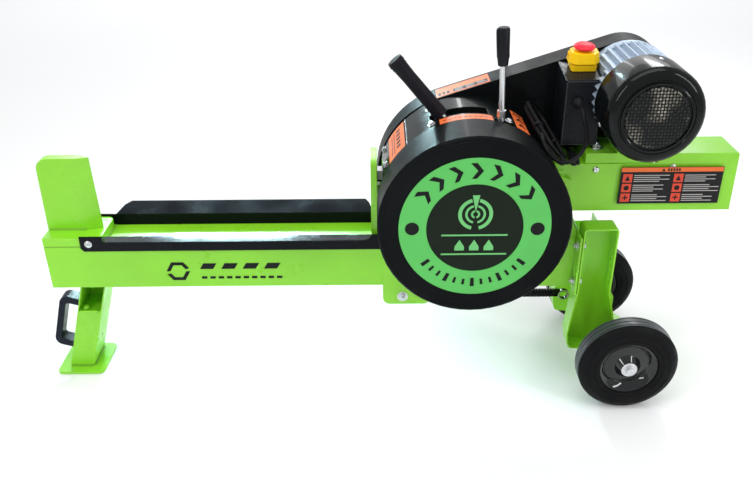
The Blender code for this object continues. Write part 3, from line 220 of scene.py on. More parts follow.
def rubber(name, colour, roughness, dust=0.22, shine=0.08):
    s = Shader(name, colour, roughness)
    s.main.inputs["Specular IOR Level"].default_value = shine
    s.paint(s.ramp(s.noise(24.0, 6.0), 0.48, 0.80, 0.0, dust), (0.040, 0.039, 0.038))
    s.paint(s.ramp(s.noise(420.0, 4.0), 0.60, 0.80, 0.0, 0.35), scaled(colour, 1.9))
    s.gloss(s.noise(40.0, 5.0), roughness - 0.10, roughness + 0.12)
    s.bump(s.noise(700.0, 3.0), 0.25, 0.0003)
    s.bump(s.noise(90.0, 3.0), 0.12, 0.0008)
    return s.material


def print_ink(name, colour, roughness=0.32, coat=0.12):
    s = Shader(name, colour, roughness)
    s.main.inputs["Specular IOR Level"].default_value = 0.15
    s.paint(s.ramp(s.noise(12.0, 3.0), 0.40, 0.72, 0.0, 0.6), scaled(colour, 0.85))
    s.paint(s.ramp(s.noise(650.0, 3.0), 0.62, 0.80, 0.0, 0.3), scaled(colour, 0.72))
    s.gloss(s.noise(60.0, 3.0), roughness - 0.06, roughness + 0.10)
    s.bump(s.noise(300.0, 2.0), 0.05, 0.0003)
    s.main.inputs["Coat Weight"].default_value = coat
    return s.material


LIME = srgb(138, 214, 38)
GREEN = powder_coat("lime_powder_coat", LIME)
WELD = powder_coat("lime_weld_bead", scaled(LIME, 0.62), 0.38)
BLACK = gloss_black("gloss_black_paint")
RIM_BLACK = gloss_black("rim_enamel", (0.0030, 0.0036, 0.0042), 0.07, 1.0)
TRAY_BLACK = gloss_black("tray_black_paint", (0.0022, 0.0028, 0.0050), 0.20, 0.14)
DISC_BLACK = gloss_black("disc_satin_black", (0.0030, 0.0036, 0.0040), 0.38, 0.03)
BOX_BLACK = moulded("switch_box_black", (0.0075, 0.0085, 0.011), 0.30, 0.10)
STEEL = metal("machined_steel", (0.47, 0.47, 0.48), 0.34, (1.0, 12.0, 1.0))
ZINC = metal("zinc_plating", (0.74, 0.75, 0.76), 0.27, (1.0, 1.0, 0.08), 320.0, 0.25)
BOLT_ZINC = metal("bolt_zinc", (0.70, 0.71, 0.73), 0.26, (1.0, 1.0, 1.0), 420.0, 0.4)
IRON = cast("grey_iron", (0.15, 0.15, 0.16), 0.52, 0.9)
ALUMINIUM = cast("fin_aluminium", (0.40, 0.49, 0.60), 0.46, 0.45, 0.22)
TYRE = rubber("tyre_rubber", (0.0050, 0.0052, 0.0058), 0.50, 0.10)
# the tread is the same rubber as the side, painted ten times lighter and bluer: a painted reflection of the
# sky on the tread
TREAD_PAINTED_SHEEN = rubber("tread_rubber_painted_sky_sheen", (0.050, 0.056, 0.066), 0.40, 0.25, 0.5)
GRIP = rubber("grip_rubber", (0.011, 0.010, 0.014), 0.42, 0.12)
BELT = rubber("belt_rubber", (0.010, 0.010, 0.010), 0.70)
PLASTIC = moulded("black_moulded_plastic", (0.009, 0.0095, 0.012), 0.36)
NAVY = moulded("lift_handle_plastic", (0.008, 0.010, 0.020), 0.30)
YELLOW = moulded("yellow_plastic", srgb(255, 204, 22), 0.38, 0.12, 1.1)
RED = moulded("red_plastic", srgb(232, 44, 62), 0.36, 0.12, 1.1)
GREEN_KEY = moulded("green_plastic", srgb(30, 150, 70), 0.38, 0.12)
SHEATH = rubber("cord_sheath", (0.0085, 0.0085, 0.0095), 0.34, 0.10)
ROTOR = cast("laminations", (0.34, 0.25, 0.18), 0.48, 0.8)
DISC_GREEN = print_ink("disc_green_print", srgb(92, 188, 92), 0.40)
DISC_INK = print_ink("disc_dark_print", (0.0060, 0.0062, 0.0066), 0.42, 0.0)
CENTRE_GREY = print_ink("disc_centre_print", srgb(14, 26, 14), 0.44, 0.0)
PALE_GREEN = print_ink("disc_pale_green", srgb(112, 192, 116), 0.42, 0.0)
ORANGE = print_ink("label_orange", srgb(232, 112, 58), 0.36)
RED_INK = print_ink("label_red", srgb(218, 74, 52), 0.36)
LABEL_BLACK = print_ink("label_black", (0.007, 0.007, 0.0075), 0.34)
LABEL_GREY = print_ink("label_grey", srgb(182, 178, 176), 0.40)
# grey for the switch box's edges: painted highlights where the black edges catch light
EDGE_PAINTED_HIGHLIGHT = print_ink("box_edge_painted_highlight", (0.075, 0.078, 0.080), 0.38)
EYE_ZINC = metal("olive_zinc", (0.34, 0.42, 0.22), 0.34, (1.0, 1.0, 1.0), 420.0, 0.4)


def vent_painted_light():
    """Pale painted light in noise patches where light comes through the fan, on a near-black base of
    painted shade, broken up by darker noise spots.
    """
    s = Shader("vent_painted_light", (0.006, 0.006, 0.006), 0.6)
    s.paint(s.ramp(s.noise(15.0, 2.0), 0.46, 0.60, 0.0, 1.0), (0.42, 0.39, 0.31))
    s.paint(s.ramp(s.noise(130.0, 3.0), 0.45, 0.70, 0.0, 0.7), (0.03, 0.03, 0.03))
    s.gloss(s.noise(60.0, 3.0), 0.45, 0.7)
    s.bump(s.noise(200.0, 2.0), 0.2, 0.0005)
    return s.material


VENT_PAINTED_LIGHT = vent_painted_light()

LOOKS = {
    GREEN: "front_beam wedge_base_plate splitting_wedge front_leg foot_plate near_side_plate "
           "far_side_plate rear_end_plate rear_housing near_wheel_leg far_wheel_leg motor_mount "
           "pusher_plate pusher_carriage",
    TRAY_BLACK: "near_log_tray far_log_tray",
    RIM_BLACK: "near_wheel_rim far_wheel_rim",
    BLACK: "front_guard_shell top_guard_shell rear_guard_shell motor_fan_cowl spring_anchor_bar "
           "handle_pivot_bracket",
    DISC_BLACK: "near_flywheel_cover belt_guard belt_guard_lid",
    BOX_BLACK: "switch_box",
    STEEL: "wheel_axle pinion_shaft gear_rack",
    ZINC: "handle_rod operating_lever",
    BOLT_ZINC: "near_axle_bolt far_axle_bolt",
    IRON: "near_flywheel far_flywheel_pulley near_bearing far_bearing",
    ALUMINIUM: "motor_housing motor_end_bell motor_pulley",
    TYRE: "near_tyre far_tyre",
    BELT: "drive_belt",
    GRIP: "handle_grip",
    PLASTIC: "lever_grip cable_gland mains_plug cooling_fan",
    NAVY: "lift_handle",
    YELLOW: "switch_base switch_flap",
    RED: "stop_button stop_mushroom",
    GREEN_KEY: "start_button",
    SHEATH: "power_cord cord_tail cord_coil",
    ROTOR: "motor_rotor",
}
BEVELS = {
    "lift_handle": 0.0016, "switch_box": 0.0012, "near_flywheel_cover": 0.0012, "front_beam": 0.0014,
    "rear_housing": 0.0014, "splitting_wedge": 0.0006, "gear_rack": 0.0002, "drive_belt": 0.0004,
    "motor_housing": 0.0003, "near_log_tray": 0.0005, "far_log_tray": 0.0005, "motor_fan_cowl": 0.0020,
    "belt_guard": 0.0016, "wedge_base_plate": 0.0016, "pinion_shaft": 0.0002, "front_guard_shell": 0.0005,
    "top_guard_shell": 0.0005, "rear_guard_shell": 0.0005,
}
PLAIN_BEVEL = 0.0009
CREASE = math.radians(32)  # a sharper turn than this is an edge


def shade_by_angle():
    """A modifier that drops the stored normals and shades smooth between the creases."""
    group = bpy.data.node_groups.new("shade_by_angle", "GeometryNodeTree")
    group.interface.new_socket("Geometry", in_out="INPUT", socket_type="NodeSocketGeometry")
    group.interface.new_socket("Geometry", in_out="OUTPUT", socket_type="NodeSocketGeometry")
    make = group.nodes.new
    start, end = make("NodeGroupInput"), make("NodeGroupOutput")
    plain = make("GeometryNodeRemoveAttribute")
    plain.inputs["Name"].default_value = "custom_normal"
    smooth = make("GeometryNodeSetShadeSmooth")
    smooth.domain = "FACE"
    crisp = make("GeometryNodeSetShadeSmooth")
    crisp.domain = "EDGE"
    crisp.inputs["Shade Smooth"].default_value = False
    over = make("FunctionNodeCompare")
    over.data_type = "FLOAT"
    over.operation = "GREATER_THAN"
    over.inputs[1].default_value = CREASE
    group.links.new(start.outputs[0], plain.inputs[0])
    group.links.new(plain.outputs[0], smooth.inputs[0])
    group.links.new(smooth.outputs[0], crisp.inputs[0])
    group.links.new(make("GeometryNodeInputMeshEdgeAngle").outputs[0], over.inputs[0])
    group.links.new(over.outputs[0], crisp.inputs["Selection"])
    group.links.new(crisp.outputs[0], end.inputs[0])
    return group


SHADE = shade_by_angle()


def round_edges(thing, width):
    bevel = thing.modifiers.new("bevel", "BEVEL")
    bevel.width = width
    bevel.segments = 2
    bevel.limit_method = "ANGLE"
    bevel.angle_limit = CREASE
    bevel.harden_normals = True


def dress_nodes():
    """Gives every CAD node its material, flat faces without seams, and fine bevels."""
    for material, names in LOOKS.items():
        for name in names.split():
            node = NODES[name]
            node.data.materials.clear()
            node.data.materials.append(material)
            weld = node.modifiers.new("weld", "WELD")
            weld.merge_threshold = 2e-5
            flat = node.modifiers.new("flat", "DECIMATE")
            flat.decimate_type = "DISSOLVE"
            flat.angle_limit = math.radians(0.8)
            shade = node.modifiers.new("shade", "NODES")
            shade.node_group = SHADE
            round_edges(node, BEVELS.get(name, PLAIN_BEVEL))


dress_nodes()

# ---------------------------------------------------------------- mesh tools


def piece(name, shape, material, body, smooth=True, bevel=0.0, angle=32):
    """Turns a bmesh in world coordinates into a piece that rides on a body."""
    bmesh.ops.recalc_face_normals(shape, faces=shape.faces)
    mesh = bpy.data.meshes.new(name)
    shape.to_mesh(mesh)
    shape.free()
    for one in material if isinstance(material, (list, tuple)) else [material]:
        mesh.materials.append(one)
    if smooth:
        mesh.polygons.foreach_set("use_smooth", [True] * len(mesh.polygons))
        mesh.set_sharp_from_angle(angle=math.radians(angle))
    made = bpy.data.objects.new(name, mesh)
    bpy.context.scene.collection.objects.link(made)
    if bevel:
        round_edges(made, bevel)
    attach(made, body)
    return made


def skin(shape, rings, loop=False):
    """Joins each ring of vertices to the next one. A loop also joins the last ring to the first."""
    for low, high in zip(rings, rings[1:] + rings[:loop]):
        for k, here in enumerate(low):
            m = (k + 1) % len(low)
            shape.faces.new((here, low[m], high[m], high[k]))


def round_turn(count):
    """Evenly spaced angles once round, in radians."""
    return [2 * math.pi * k / count for k in range(count)]


def turned(shape, profile, start, axis, segments=24, sides=None):
    """Adds a closed turned form, or one with flat sides: a profile of (radius, distance along the axis)."""
    axis = Vector(axis).normalized()
    side = axis.orthogonal().normalized()
    other = axis.cross(side)
    rings = []
    for radius, along in profile:
        ring = []
        for a in round_turn(segments):
            r = radius
            if sides:
                half = math.pi / sides
                r *= math.cos(half) / math.cos((a + half) % (2 * half) - half)
            spoke = side * math.cos(a) + other * math.sin(a)
            ring.append(shape.verts.new(start + axis * along + spoke * r))
        rings.append(ring)
    skin(shape, rings)
    shape.faces.new(rings[0])
    shape.faces.new(rings[-1])


def hex_bolt(shape, start, axis, r=0.0075, washer=True, stub=False):
    """A washer and a chamfered hexagon head, or a nut with the bolt's end standing out of it."""
    start = Vector(start)
    axis = Vector(axis).normalized()
    base = 0.0
    if washer:
        turned(shape, [(r * 1.42, 0.0), (r * 1.46, 0.0004), (r * 1.42, 0.0012)], start, axis, 28)
        base = 0.0012
    h = r * 0.72
    head = [(r * 0.97, base), (r, base + h * 0.12), (r, base + h * 0.8), (r * 0.86, base + h)]
    turned(shape, head, start, axis, 24, 6)
    if stub:
        threads = [(r * (0.46, 0.50)[k % 2], base + h * (1 + k / 10)) for k in range(6)]
        turned(shape, threads + [(r * 0.38, base + h * 1.7)], start, axis, 16)
    else:
        turned(shape, [(r * 0.60, base + h), (r * 0.56, base + h * 1.06)], start, axis, 20)


def dome_bolt(shape, start, axis, r=0.006):
    profile = [(r, 0.0), (r, r * 0.16)]
    profile += [(r * math.cos(a) * 0.98, r * 0.16 + r * 0.42 * math.sin(a)) for a in (0.3, 0.6, 0.9, 1.2)]
    profile += [(r * 0.30, r * 0.56), (r * 0.28, r * 0.36)]
    turned(shape, profile, Vector(start), Vector(axis), 20)


def figure(shape, place, outline, height=INK):
    """A flat figure, given by its outline in (u, v), laid on a surface by place(u, v, height)."""
    shape.faces.new([shape.verts.new(place(u, v, height)) for u, v in outline])


def strip(shape, place, u0, u1, v0, v1, height=INK, steps=1):
    """A flat bar that follows a surface."""
    for k in range(steps):
        a = u0 + (u1 - u0) * k / steps
        b = u0 + (u1 - u0) * (k + 1) / steps
        figure(shape, place, [(a, v0), (b, v0), (b, v1), (a, v1)], height)


def slab(shape, place, u0, u1, v0, v1, low, high, steps=1):
    """A closed plate that follows a surface between two heights."""
    grid = []
    for k in range(steps + 1):
        u = u0 + (u1 - u0) * k / steps
        corners = ((v0, low), (v1, low), (v1, high), (v0, high))
        grid.append([shape.verts.new(place(u, v, h)) for v, h in corners])
    skin(shape, grid)
    shape.faces.new(grid[0])
    shape.faces.new(grid[-1])


def bead(shape, points, radius, sides=8, ripple=0.12, seed=3):
    """A weld bead along a line, with the ripples that a welder leaves."""
    source = random.Random(seed)
    route = []
    for a, b in zip(points, points[1:]):
        a, b = Vector(a), Vector(b)
        count = max(2, int((b - a).length / (radius * 0.8)))
        route += [a.lerp(b, k / count) for k in range(count)]
    route.append(Vector(points[-1]))
    rings = []
    for k, here in enumerate(route):
        ahead = (route[min(k + 1, len(route) - 1)] - route[max(k - 1, 0)]).normalized()
        side = ahead.orthogonal().normalized()
        other = ahead.cross(side)
        swell = radius * (1 + ripple * (1 if k % 2 else -1) + source.uniform(-0.06, 0.06))
        if k in (0, len(route) - 1):
            swell *= 0.5
        rings.append([shape.verts.new(here + (side * math.cos(a) + other * math.sin(a)) * swell)
                      for a in round_turn(sides)])
    skin(shape, rings)
    shape.faces.new(rings[0])
    shape.faces.new(rings[-1])


# ---------------------------------------------------------------- cord

CORD_R = 0.00375
STRAND = 0.0045  # how far a strand lies off the middle line of the hank
STRAND_TWIST = math.radians(120)  # for each turn of the hank
HANK_HALF_RUN = 0.042
HANK_FOLD = 0.028
HANK_DRAPE_R = 0.1821  # the hank lies on the cover at this radius


def hank_line():
    """The closed middle line of the folded hank, draped over the drum, and the way it faces."""
    middle = at(0.137, -0.028, 0.524)
    along = Vector((0.236, -0.890, -0.389)).normalized()
    across = Vector((0.610, 0.447, -0.653))
    across = (across - along * across.dot(along)).normalized()
    half = []
    for k in range(9):
        turn = math.pi * k / 8
        half.append((HANK_HALF_RUN + HANK_FOLD * math.sin(turn), HANK_FOLD * math.cos(turn)))
    half += [(HANK_HALF_RUN * (1 - k / 4), -HANK_FOLD) for k in range(1, 8)]
    line = []
    for u, v in half + [(-u, -v) for u, v in half]:
        point = middle + along * u + across * v
        lean = math.atan2(point.x - FX, point.z - FZ)
        radius = max(HANK_DRAPE_R, math.hypot(point.x - FX, point.z - FZ))
        line.append(Vector((FX + radius * math.sin(lean), point.y, FZ + radius * math.cos(lean))))
    return line, along.cross(across)


def smooth_route(points, spacing):
    """A smooth line through the points, thinned to a spacing."""
    padded = [2 * points[0] - points[1], *points, 2 * points[-1] - points[-2]]
    fine = []
    for a, b, c, d in zip(padded, padded[1:], padded[2:], padded[3:]):
        for k in range(16):
            t = k / 16
            fine.append(0.5 * (2 * b + (c - a) * t + (2 * a - 5 * b + 4 * c - d) * t**2
                               + (3 * b - a - 3 * c + d) * t**3))
    fine.append(points[-1])
    route = [fine[0]]
    for p in fine[1:-1]:
        if (p - route[-1]).length >= spacing:
            route.append(p)
    return route + [fine[-1]]


def build_cord():
    """One cord from the gland, 2.3 times round the hank and on to the plug. Two ties hold the hank."""
    lead = [at(*p) for p in (
        (0.1930, -0.0446, 0.5770), (0.1930, -0.0536, 0.5770), (0.1927, -0.0648, 0.5732),
        (0.1932, -0.0738, 0.5658), (0.1950, -0.0798, 0.5559), (0.1968, -0.0844, 0.5453),
        (0.1976, -0.0887, 0.5346), (0.1956, -0.0930, 0.5239), (0.1901, -0.0976, 0.5147),
        (0.1826, -0.1025, 0.5072), (0.1736, -0.1072, 0.5017), (0.1629, -0.1109, 0.4994),
        (0.1514, -0.1129, 0.5008), (0.1408, -0.1126, 0.5057), (0.1323, -0.1095, 0.5132),
        (0.1262, -0.1028, 0.5207), (0.1231, -0.0934, 0.5268), (0.1231, -0.0821, 0.5307),
        (0.1239, -0.0705, 0.5338))]
    line, face = hank_line()
    count = len(line)
    first, last = 11, 20 + 2 * count  # where on the line the lead comes in and the tail goes out
    turns = []
    for i in range(first, last + 1):
        here = line[i % count]
        ahead = (line[(i + 1) % count] - line[(i - 1) % count]).normalized()
        outward = ahead.cross(face).normalized()
        psi = STRAND_TWIST * (i - first) / count
        turns.append(here + (outward * math.cos(psi) + face * math.sin(psi)) * STRAND)
    tail = [at(*p) for p in (
        (0.1900, -0.0097, 0.4778), (0.1900, 0.0010, 0.4778), (0.1888, 0.0130, 0.4778),
        (0.1853, 0.0245, 0.4786), (0.1790, 0.0350, 0.4815), (0.1695, 0.0428, 0.4866),
        (0.1595, 0.0478, 0.4958), (0.1508, 0.0498, 0.5075), (0.1440, 0.0495, 0.5205),
        (0.1375, 0.0470, 0.5315))]
    points = smooth_route(lead + turns + tail[::-1], 0.0035)
    curve = bpy.data.curves.new("mains_cord", "CURVE")
    curve.dimensions = "3D"
    curve.bevel_depth = CORD_R
    curve.bevel_resolution = 4
    curve.use_fill_caps = True
    spline = curve.splines.new("POLY")
    spline.points.add(len(points) - 1)
    for slot, point in zip(spline.points, points):
        slot.co = (*point, 1.0)
    curve.materials.append(SHEATH)
    cord = bpy.data.objects.new("mains_cord", curve)
    bpy.context.scene.collection.objects.link(cord)
    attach(cord, "frame")
    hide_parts("power_cord", "cord_coil", "cord_tail")
    ties = bmesh.new()
    for k in (12, 29):
        ahead = (line[(k + 1) % count] - line[k - 1]).normalized()
        band = [(0.0083, -0.0022), (0.0092, -0.0020), (0.0092, 0.0020), (0.0083, 0.0022)]
        turned(ties, band, line[k], ahead, 24)
    tie = piece("hank_ties", ties, PLASTIC, "frame")


build_cord()

# ---------------------------------------------------------------- fasteners


def build_bolts():
    """The side plates' bolts, the wheel legs' bolts and the screws through the motor mount."""
    bolts = bmesh.new()
    hex_bolt(bolts, at(-0.123, -0.0548, 0.190), NEAR, 0.0075, stub=True)
    hex_bolt(bolts, at(-0.123, 0.0548, 0.190), FAR, 0.0075)
    for side, z in ((-1, 0.312), (-1, 0.234), (1, 0.234)):
        hex_bolt(bolts, at(0.2103, side * 0.0715, z), LEFT, 0.0062, stub=True)
        hex_bolt(bolts, at(0.2186, side * 0.0715, z), RIGHT, 0.0082)
    for x, z in ((0.2345, 0.4560), (0.3765, 0.4600)):
        dome_bolt(bolts, at(x, -0.0430, z), NEAR, 0.0062)
        dome_bolt(bolts, at(x, 0.0430, z), FAR, 0.0062)
    piece("frame_bolts", bolts, BOLT_ZINC, "frame", bevel=0.0002)


def guard_place(lean, y, height):
    """A point on the drum: lean in degrees from straight up towards the motor."""
    a = math.radians(lean)
    r = GUARD_R + height
    return Vector((FX + r * math.sin(a), y, FZ + r * math.cos(a)))


def build_guard_details():
    """Bolts and seams on the drum, and the black lips of the slot that the handle comes through."""
    bolts = bmesh.new()
    for lean, y in ((-25.3, -0.052), (-25.3, 0.030), (-66.5, -0.030), (-66.5, 0.045), (22.5, -0.0495),
                    (22.5, 0.040)):
        a = math.radians(lean)
        hex_bolt(bolts, guard_place(lean, y, 0.0), (math.sin(a), 0, math.cos(a)), 0.0052)
    piece("guard_bolts", bolts, BOLT_ZINC, "frame", bevel=0.0002)

    lips = bmesh.new()
    lip_low, lip_high = -0.0210, -0.0002
    for v0, v1 in ((-0.0400, -0.0390), (-0.0050, -0.0040)):
        slab(lips, guard_place, -26.0, 10.0, v0, v1, lip_low, lip_high, 12)
    for u0, u1 in ((-26.5, -26.0), (9.8, 10.2)):
        slab(lips, guard_place, u0, u1, -0.0390, -0.0050, lip_low, lip_high)
    piece("handle_slot_lips", lips, BLACK, "frame")

    def along_rim(u, v, h):
        return guard_place(math.degrees(u / GUARD_R), v, h)

    seams = bmesh.new()
    for lean in (-21.65, 18.1):
        u = math.radians(lean) * GUARD_R
        slab(seams, along_rim, u - 0.0010, u + 0.0010, -0.0735, 0.0640, 0.0002, 0.0011)
    piece("guard_seams", seams, BLACK, "frame", bevel=0.0003)
    # a thin zinc strip along the drum at lean -43.4 degrees: a painted highlight, the white streak of light
    # on the black drum
    shine = bmesh.new()
    u = math.radians(-43.4) * GUARD_R
    slab(shine, along_rim, u - 0.0006, u + 0.0006, -0.0735, 0.0600, 0.0001, 0.0006)
    piece("guard_painted_highlight_streak", shine, BOLT_ZINC, "frame", bevel=0.0001)


# ---------------------------------------------------------------- printed labels


def label_backing(name, place, u0, u1, v0, v1, material, steps):
    shape = bmesh.new()
    slab(shape, place, u0, u1, v0, v1, 0.00002, LABEL, steps)
    piece(name, shape, material, "frame")


def build_drum_labels():
    """Orange labels with plain bars and triangles, on the drum and on the belt guard's rim."""
    place = guard_place
    label_backing("front_guard_label", place, -60.5, -45.0, -0.0700, 0.0560, ORANGE, 10)
    marks = bmesh.new()
    for u0, u1 in ((-56.9, -56.2), (-54.6, -53.9)):
        strip(marks, place, u0, u1, -0.0560, 0.0440)
    for k in range(5):
        v = -0.046 + 0.019 * k
        strip(marks, place, -52.0, -48.6, v, v + 0.011, steps=3)
    label_backing("top_guard_label", place, -20.3, 12.0, -0.0700, -0.0450, ORANGE, 16)
    for k in range(9):
        u = -18.0 + 3.1 * k
        strip(marks, place, u, u + 2.1, -0.0592, -0.0560, steps=2)
    label_backing("rear_guard_label", place, 27.5, 37.0, -0.0640, 0.0300, ORANGE, 6)
    for v in (-0.0480, -0.0180):
        figure(marks, place, [(29.4, v), (35.2, v), (32.3, v + 0.020)])
    for k in range(3):
        strip(marks, place, 29.2 + 2.2 * k, 30.4 + 2.2 * k, 0.0090, 0.0240)
    piece("drum_label_marks", marks, LABEL_BLACK, "frame")

    # the belt guard's rim, where it runs straight from the drum to the motor
    slope = math.radians(17.6)
    foot = at(-0.172 * math.sin(slope), 0, FZ + 0.172 * math.cos(slope))
    uphill = Vector((math.cos(slope), 0, math.sin(slope)))
    outward = Vector((-math.sin(slope), 0, math.cos(slope)))

    def rim(u, v, h):
        return foot + uphill * u + Vector((0, v, 0)) + outward * h

    label_backing("belt_guard_label", rim, -0.004, 0.102, 0.0690, 0.1180, ORANGE, 1)
    lines = bmesh.new()
    strip(lines, rim, 0.030, 0.098, 0.0735, 0.0920)
    for k in range(3):
        strip(lines, rim, 0.0085 * k, 0.0055 + 0.0085 * k, 0.0740, 0.0900)
    piece("belt_guard_label_panel", lines, LABEL_BLACK, "frame")
    rows = bmesh.new()
    for k in range(4):
        v = 0.0755 + 0.0042 * k
        for m in range(3):
            u = 0.033 + 0.022 * m
            strip(rows, rim, u, u + 0.018 - 0.002 * ((k + m) % 3), v, v + 0.0015, TOP_INK)
    piece("belt_guard_label_lines", rows, LABEL_GREY, "frame")


def build_housing_label():
    """A black panel with an orange heading and two columns of red squares, each beside grey lines."""
    face_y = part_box("rear_housing")[0][1]

    def place(u, v, h):
        return at(u, face_y - h, v)

    x0, x1, z0, z1 = 0.2800, 0.4700, 0.3885, 0.4625
    label_backing("housing_label", place, x0, x1, z0, z1, LABEL_BLACK, 1)
    heading = bmesh.new()
    strip(heading, place, x0 + 0.001, x1 - 0.001, z1 - 0.0095, z1 - 0.0008)
    piece("housing_label_heading", heading, ORANGE, "frame")
    marks = bmesh.new()
    figure(marks, place, [(0.355, z1 - 0.0085), (0.362, z1 - 0.0085), (0.3585, z1 - 0.0020)], TOP_INK)
    for k in range(5):
        strip(marks, place, 0.366 + 0.005 * k, 0.3695 + 0.005 * k, z1 - 0.0080, z1 - 0.0028, TOP_INK)
    squares = bmesh.new()
    lines = bmesh.new()
    reach = 0.005
    for column in range(2):
        left = x0 + 0.005 + 0.0945 * column
        for row in range(3):
            top = z1 - 0.0135 - 0.0198 * row
            strip(squares, place, left, left + 0.0175, top - 0.0170, top)
            cx, cz = left + 0.00875, top - 0.0085
            kind = (column * 3 + row) % 3
            if kind == 0:
                triangle = [(cx - reach, cz - reach), (cx + reach, cz - reach), (cx, cz + reach)]
                figure(marks, place, triangle, TOP_INK)
            elif kind == 1:
                dot = [(cx + reach * math.cos(a), cz + reach * math.sin(a)) for a in round_turn(20)]
                figure(marks, place, dot, TOP_INK)
            else:
                strip(marks, place, cx - reach, cx + reach, cz - 0.0012, cz + 0.0012, TOP_INK)
                strip(marks, place, cx - 0.0012, cx + 0.0012, cz - reach, cz + reach, TOP_INK + 0.00005)
            for line in range(4):
                z = top - 0.0022 - 0.0040 * line
                length = 0.066 - 0.009 * ((line * 2 + row + column) % 4)
                strip(lines, place, left + 0.0205, left + 0.0205 + length, z - 0.0015, z)
    piece("housing_label_squares", squares, RED_INK, "frame")
    piece("housing_label_lines", lines, LABEL_GREY, "frame")
    piece("housing_label_marks", marks, LABEL_BLACK, "frame")


# ---------------------------------------------------------------- printed disc on the near cover


def disc_place(angle, r, height=0.0):
    """Angle in degrees clockwise from the top, as the operator sees the disc."""
    a = math.radians(angle)
    return Vector((FX + r * math.sin(a), DISC_FACE_Y - height, FZ + r * math.cos(a)))


def build_disc_print():
    """The green ring with chevrons, ticks and dots, and a split log over bars in the middle."""
    ring = bmesh.new()
    skin(ring, [[ring.verts.new(disc_place(3.75 * k, r, 0.00025)) for k in range(96)]
                for r in (0.0855, 0.1099, 0.1343)])
    piece("disc_green_ring", ring, DISC_GREEN, "frame")
    centre = bmesh.new()
    centre.faces.new([centre.verts.new(disc_place(3.75 * k, 0.0850, 0.00022)) for k in range(96)])
    piece("disc_centre", centre, CENTRE_GREY, "frame")

    ink = bmesh.new()

    def arc_figure(angle, size, radius, outline):
        """A figure in its own (across, up) units, stood on the ring like a letter."""
        points = []
        for across, rise in outline:
            r = radius + rise * size
            points.append(disc_place(angle + math.degrees(across * size / radius), r, INK))
        ink.faces.new([ink.verts.new(p) for p in points])

    chevron = [(-0.38, -0.5), (-0.04, -0.5), (0.36, 0.0), (-0.04, 0.5), (-0.38, 0.5), (0.02, 0.0)]
    for k in range(7):
        arc_figure(-54 + 18 * k, 0.0290, 0.1105, chevron)
    tick = [(-0.20, -0.5), (0.20, -0.5), (0.20, 0.5), (-0.20, 0.5)]
    for k in range(13):
        tall = 0.0175 if k % 3 == 0 else 0.0120
        arc_figure(232 - 8.667 * k, tall, 0.1090, tick)
    for angle in (-89.5, 90.5):
        middle = disc_place(angle, 0.1105, INK)
        ink.faces.new([ink.verts.new(middle + Vector((math.sin(a), 0, math.cos(a))) * 0.0125)
                       for a in round_turn(36)])
    piece("disc_ink", ink, DISC_INK, "frame")

    pale = bmesh.new()
    pale_height = 0.0005
    log_z = 0.0285

    def flat(u, v, h):
        return Vector((FX + u, DISC_FACE_Y - h, FZ + v))

    for z in (-0.0125, -0.0505):
        strip(pale, flat, -0.0585, 0.0585, z - 0.0016, z + 0.0016, pale_height)
    # a log end with growth rings, split down the middle, stands over the bars
    for inner, outer in ((0.0240, 0.0305), (0.0140, 0.0180), (0.0045, 0.0080)):
        for start, stop in ((14, 166), (194, 346)):
            steps = 16
            for k in range(steps):
                a, b = (math.radians(start + (stop - start) * m / steps) for m in (k, k + 1))
                bow = [(r * math.sin(t), log_z + r * math.cos(t))
                       for r, t in ((inner, a), (outer, a), (outer, b), (inner, b))]
                figure(pale, flat, bow, pale_height)
    figure(pale, flat, [(-0.0065, 0.0650), (0.0065, 0.0650), (0.0, 0.0330)], pale_height)
    for x in (-0.026, 0.0, 0.026):
        arrow = [(x - 0.0085, -0.0430), (x + 0.0085, -0.0430), (x + 0.0085, -0.0355), (x, -0.0215),
                 (x - 0.0085, -0.0355)]
        figure(pale, flat, arrow, pale_height)
    piece("disc_pictogram", pale, PALE_GREEN, "frame")


# ---------------------------------------------------------------- fan cowl grille


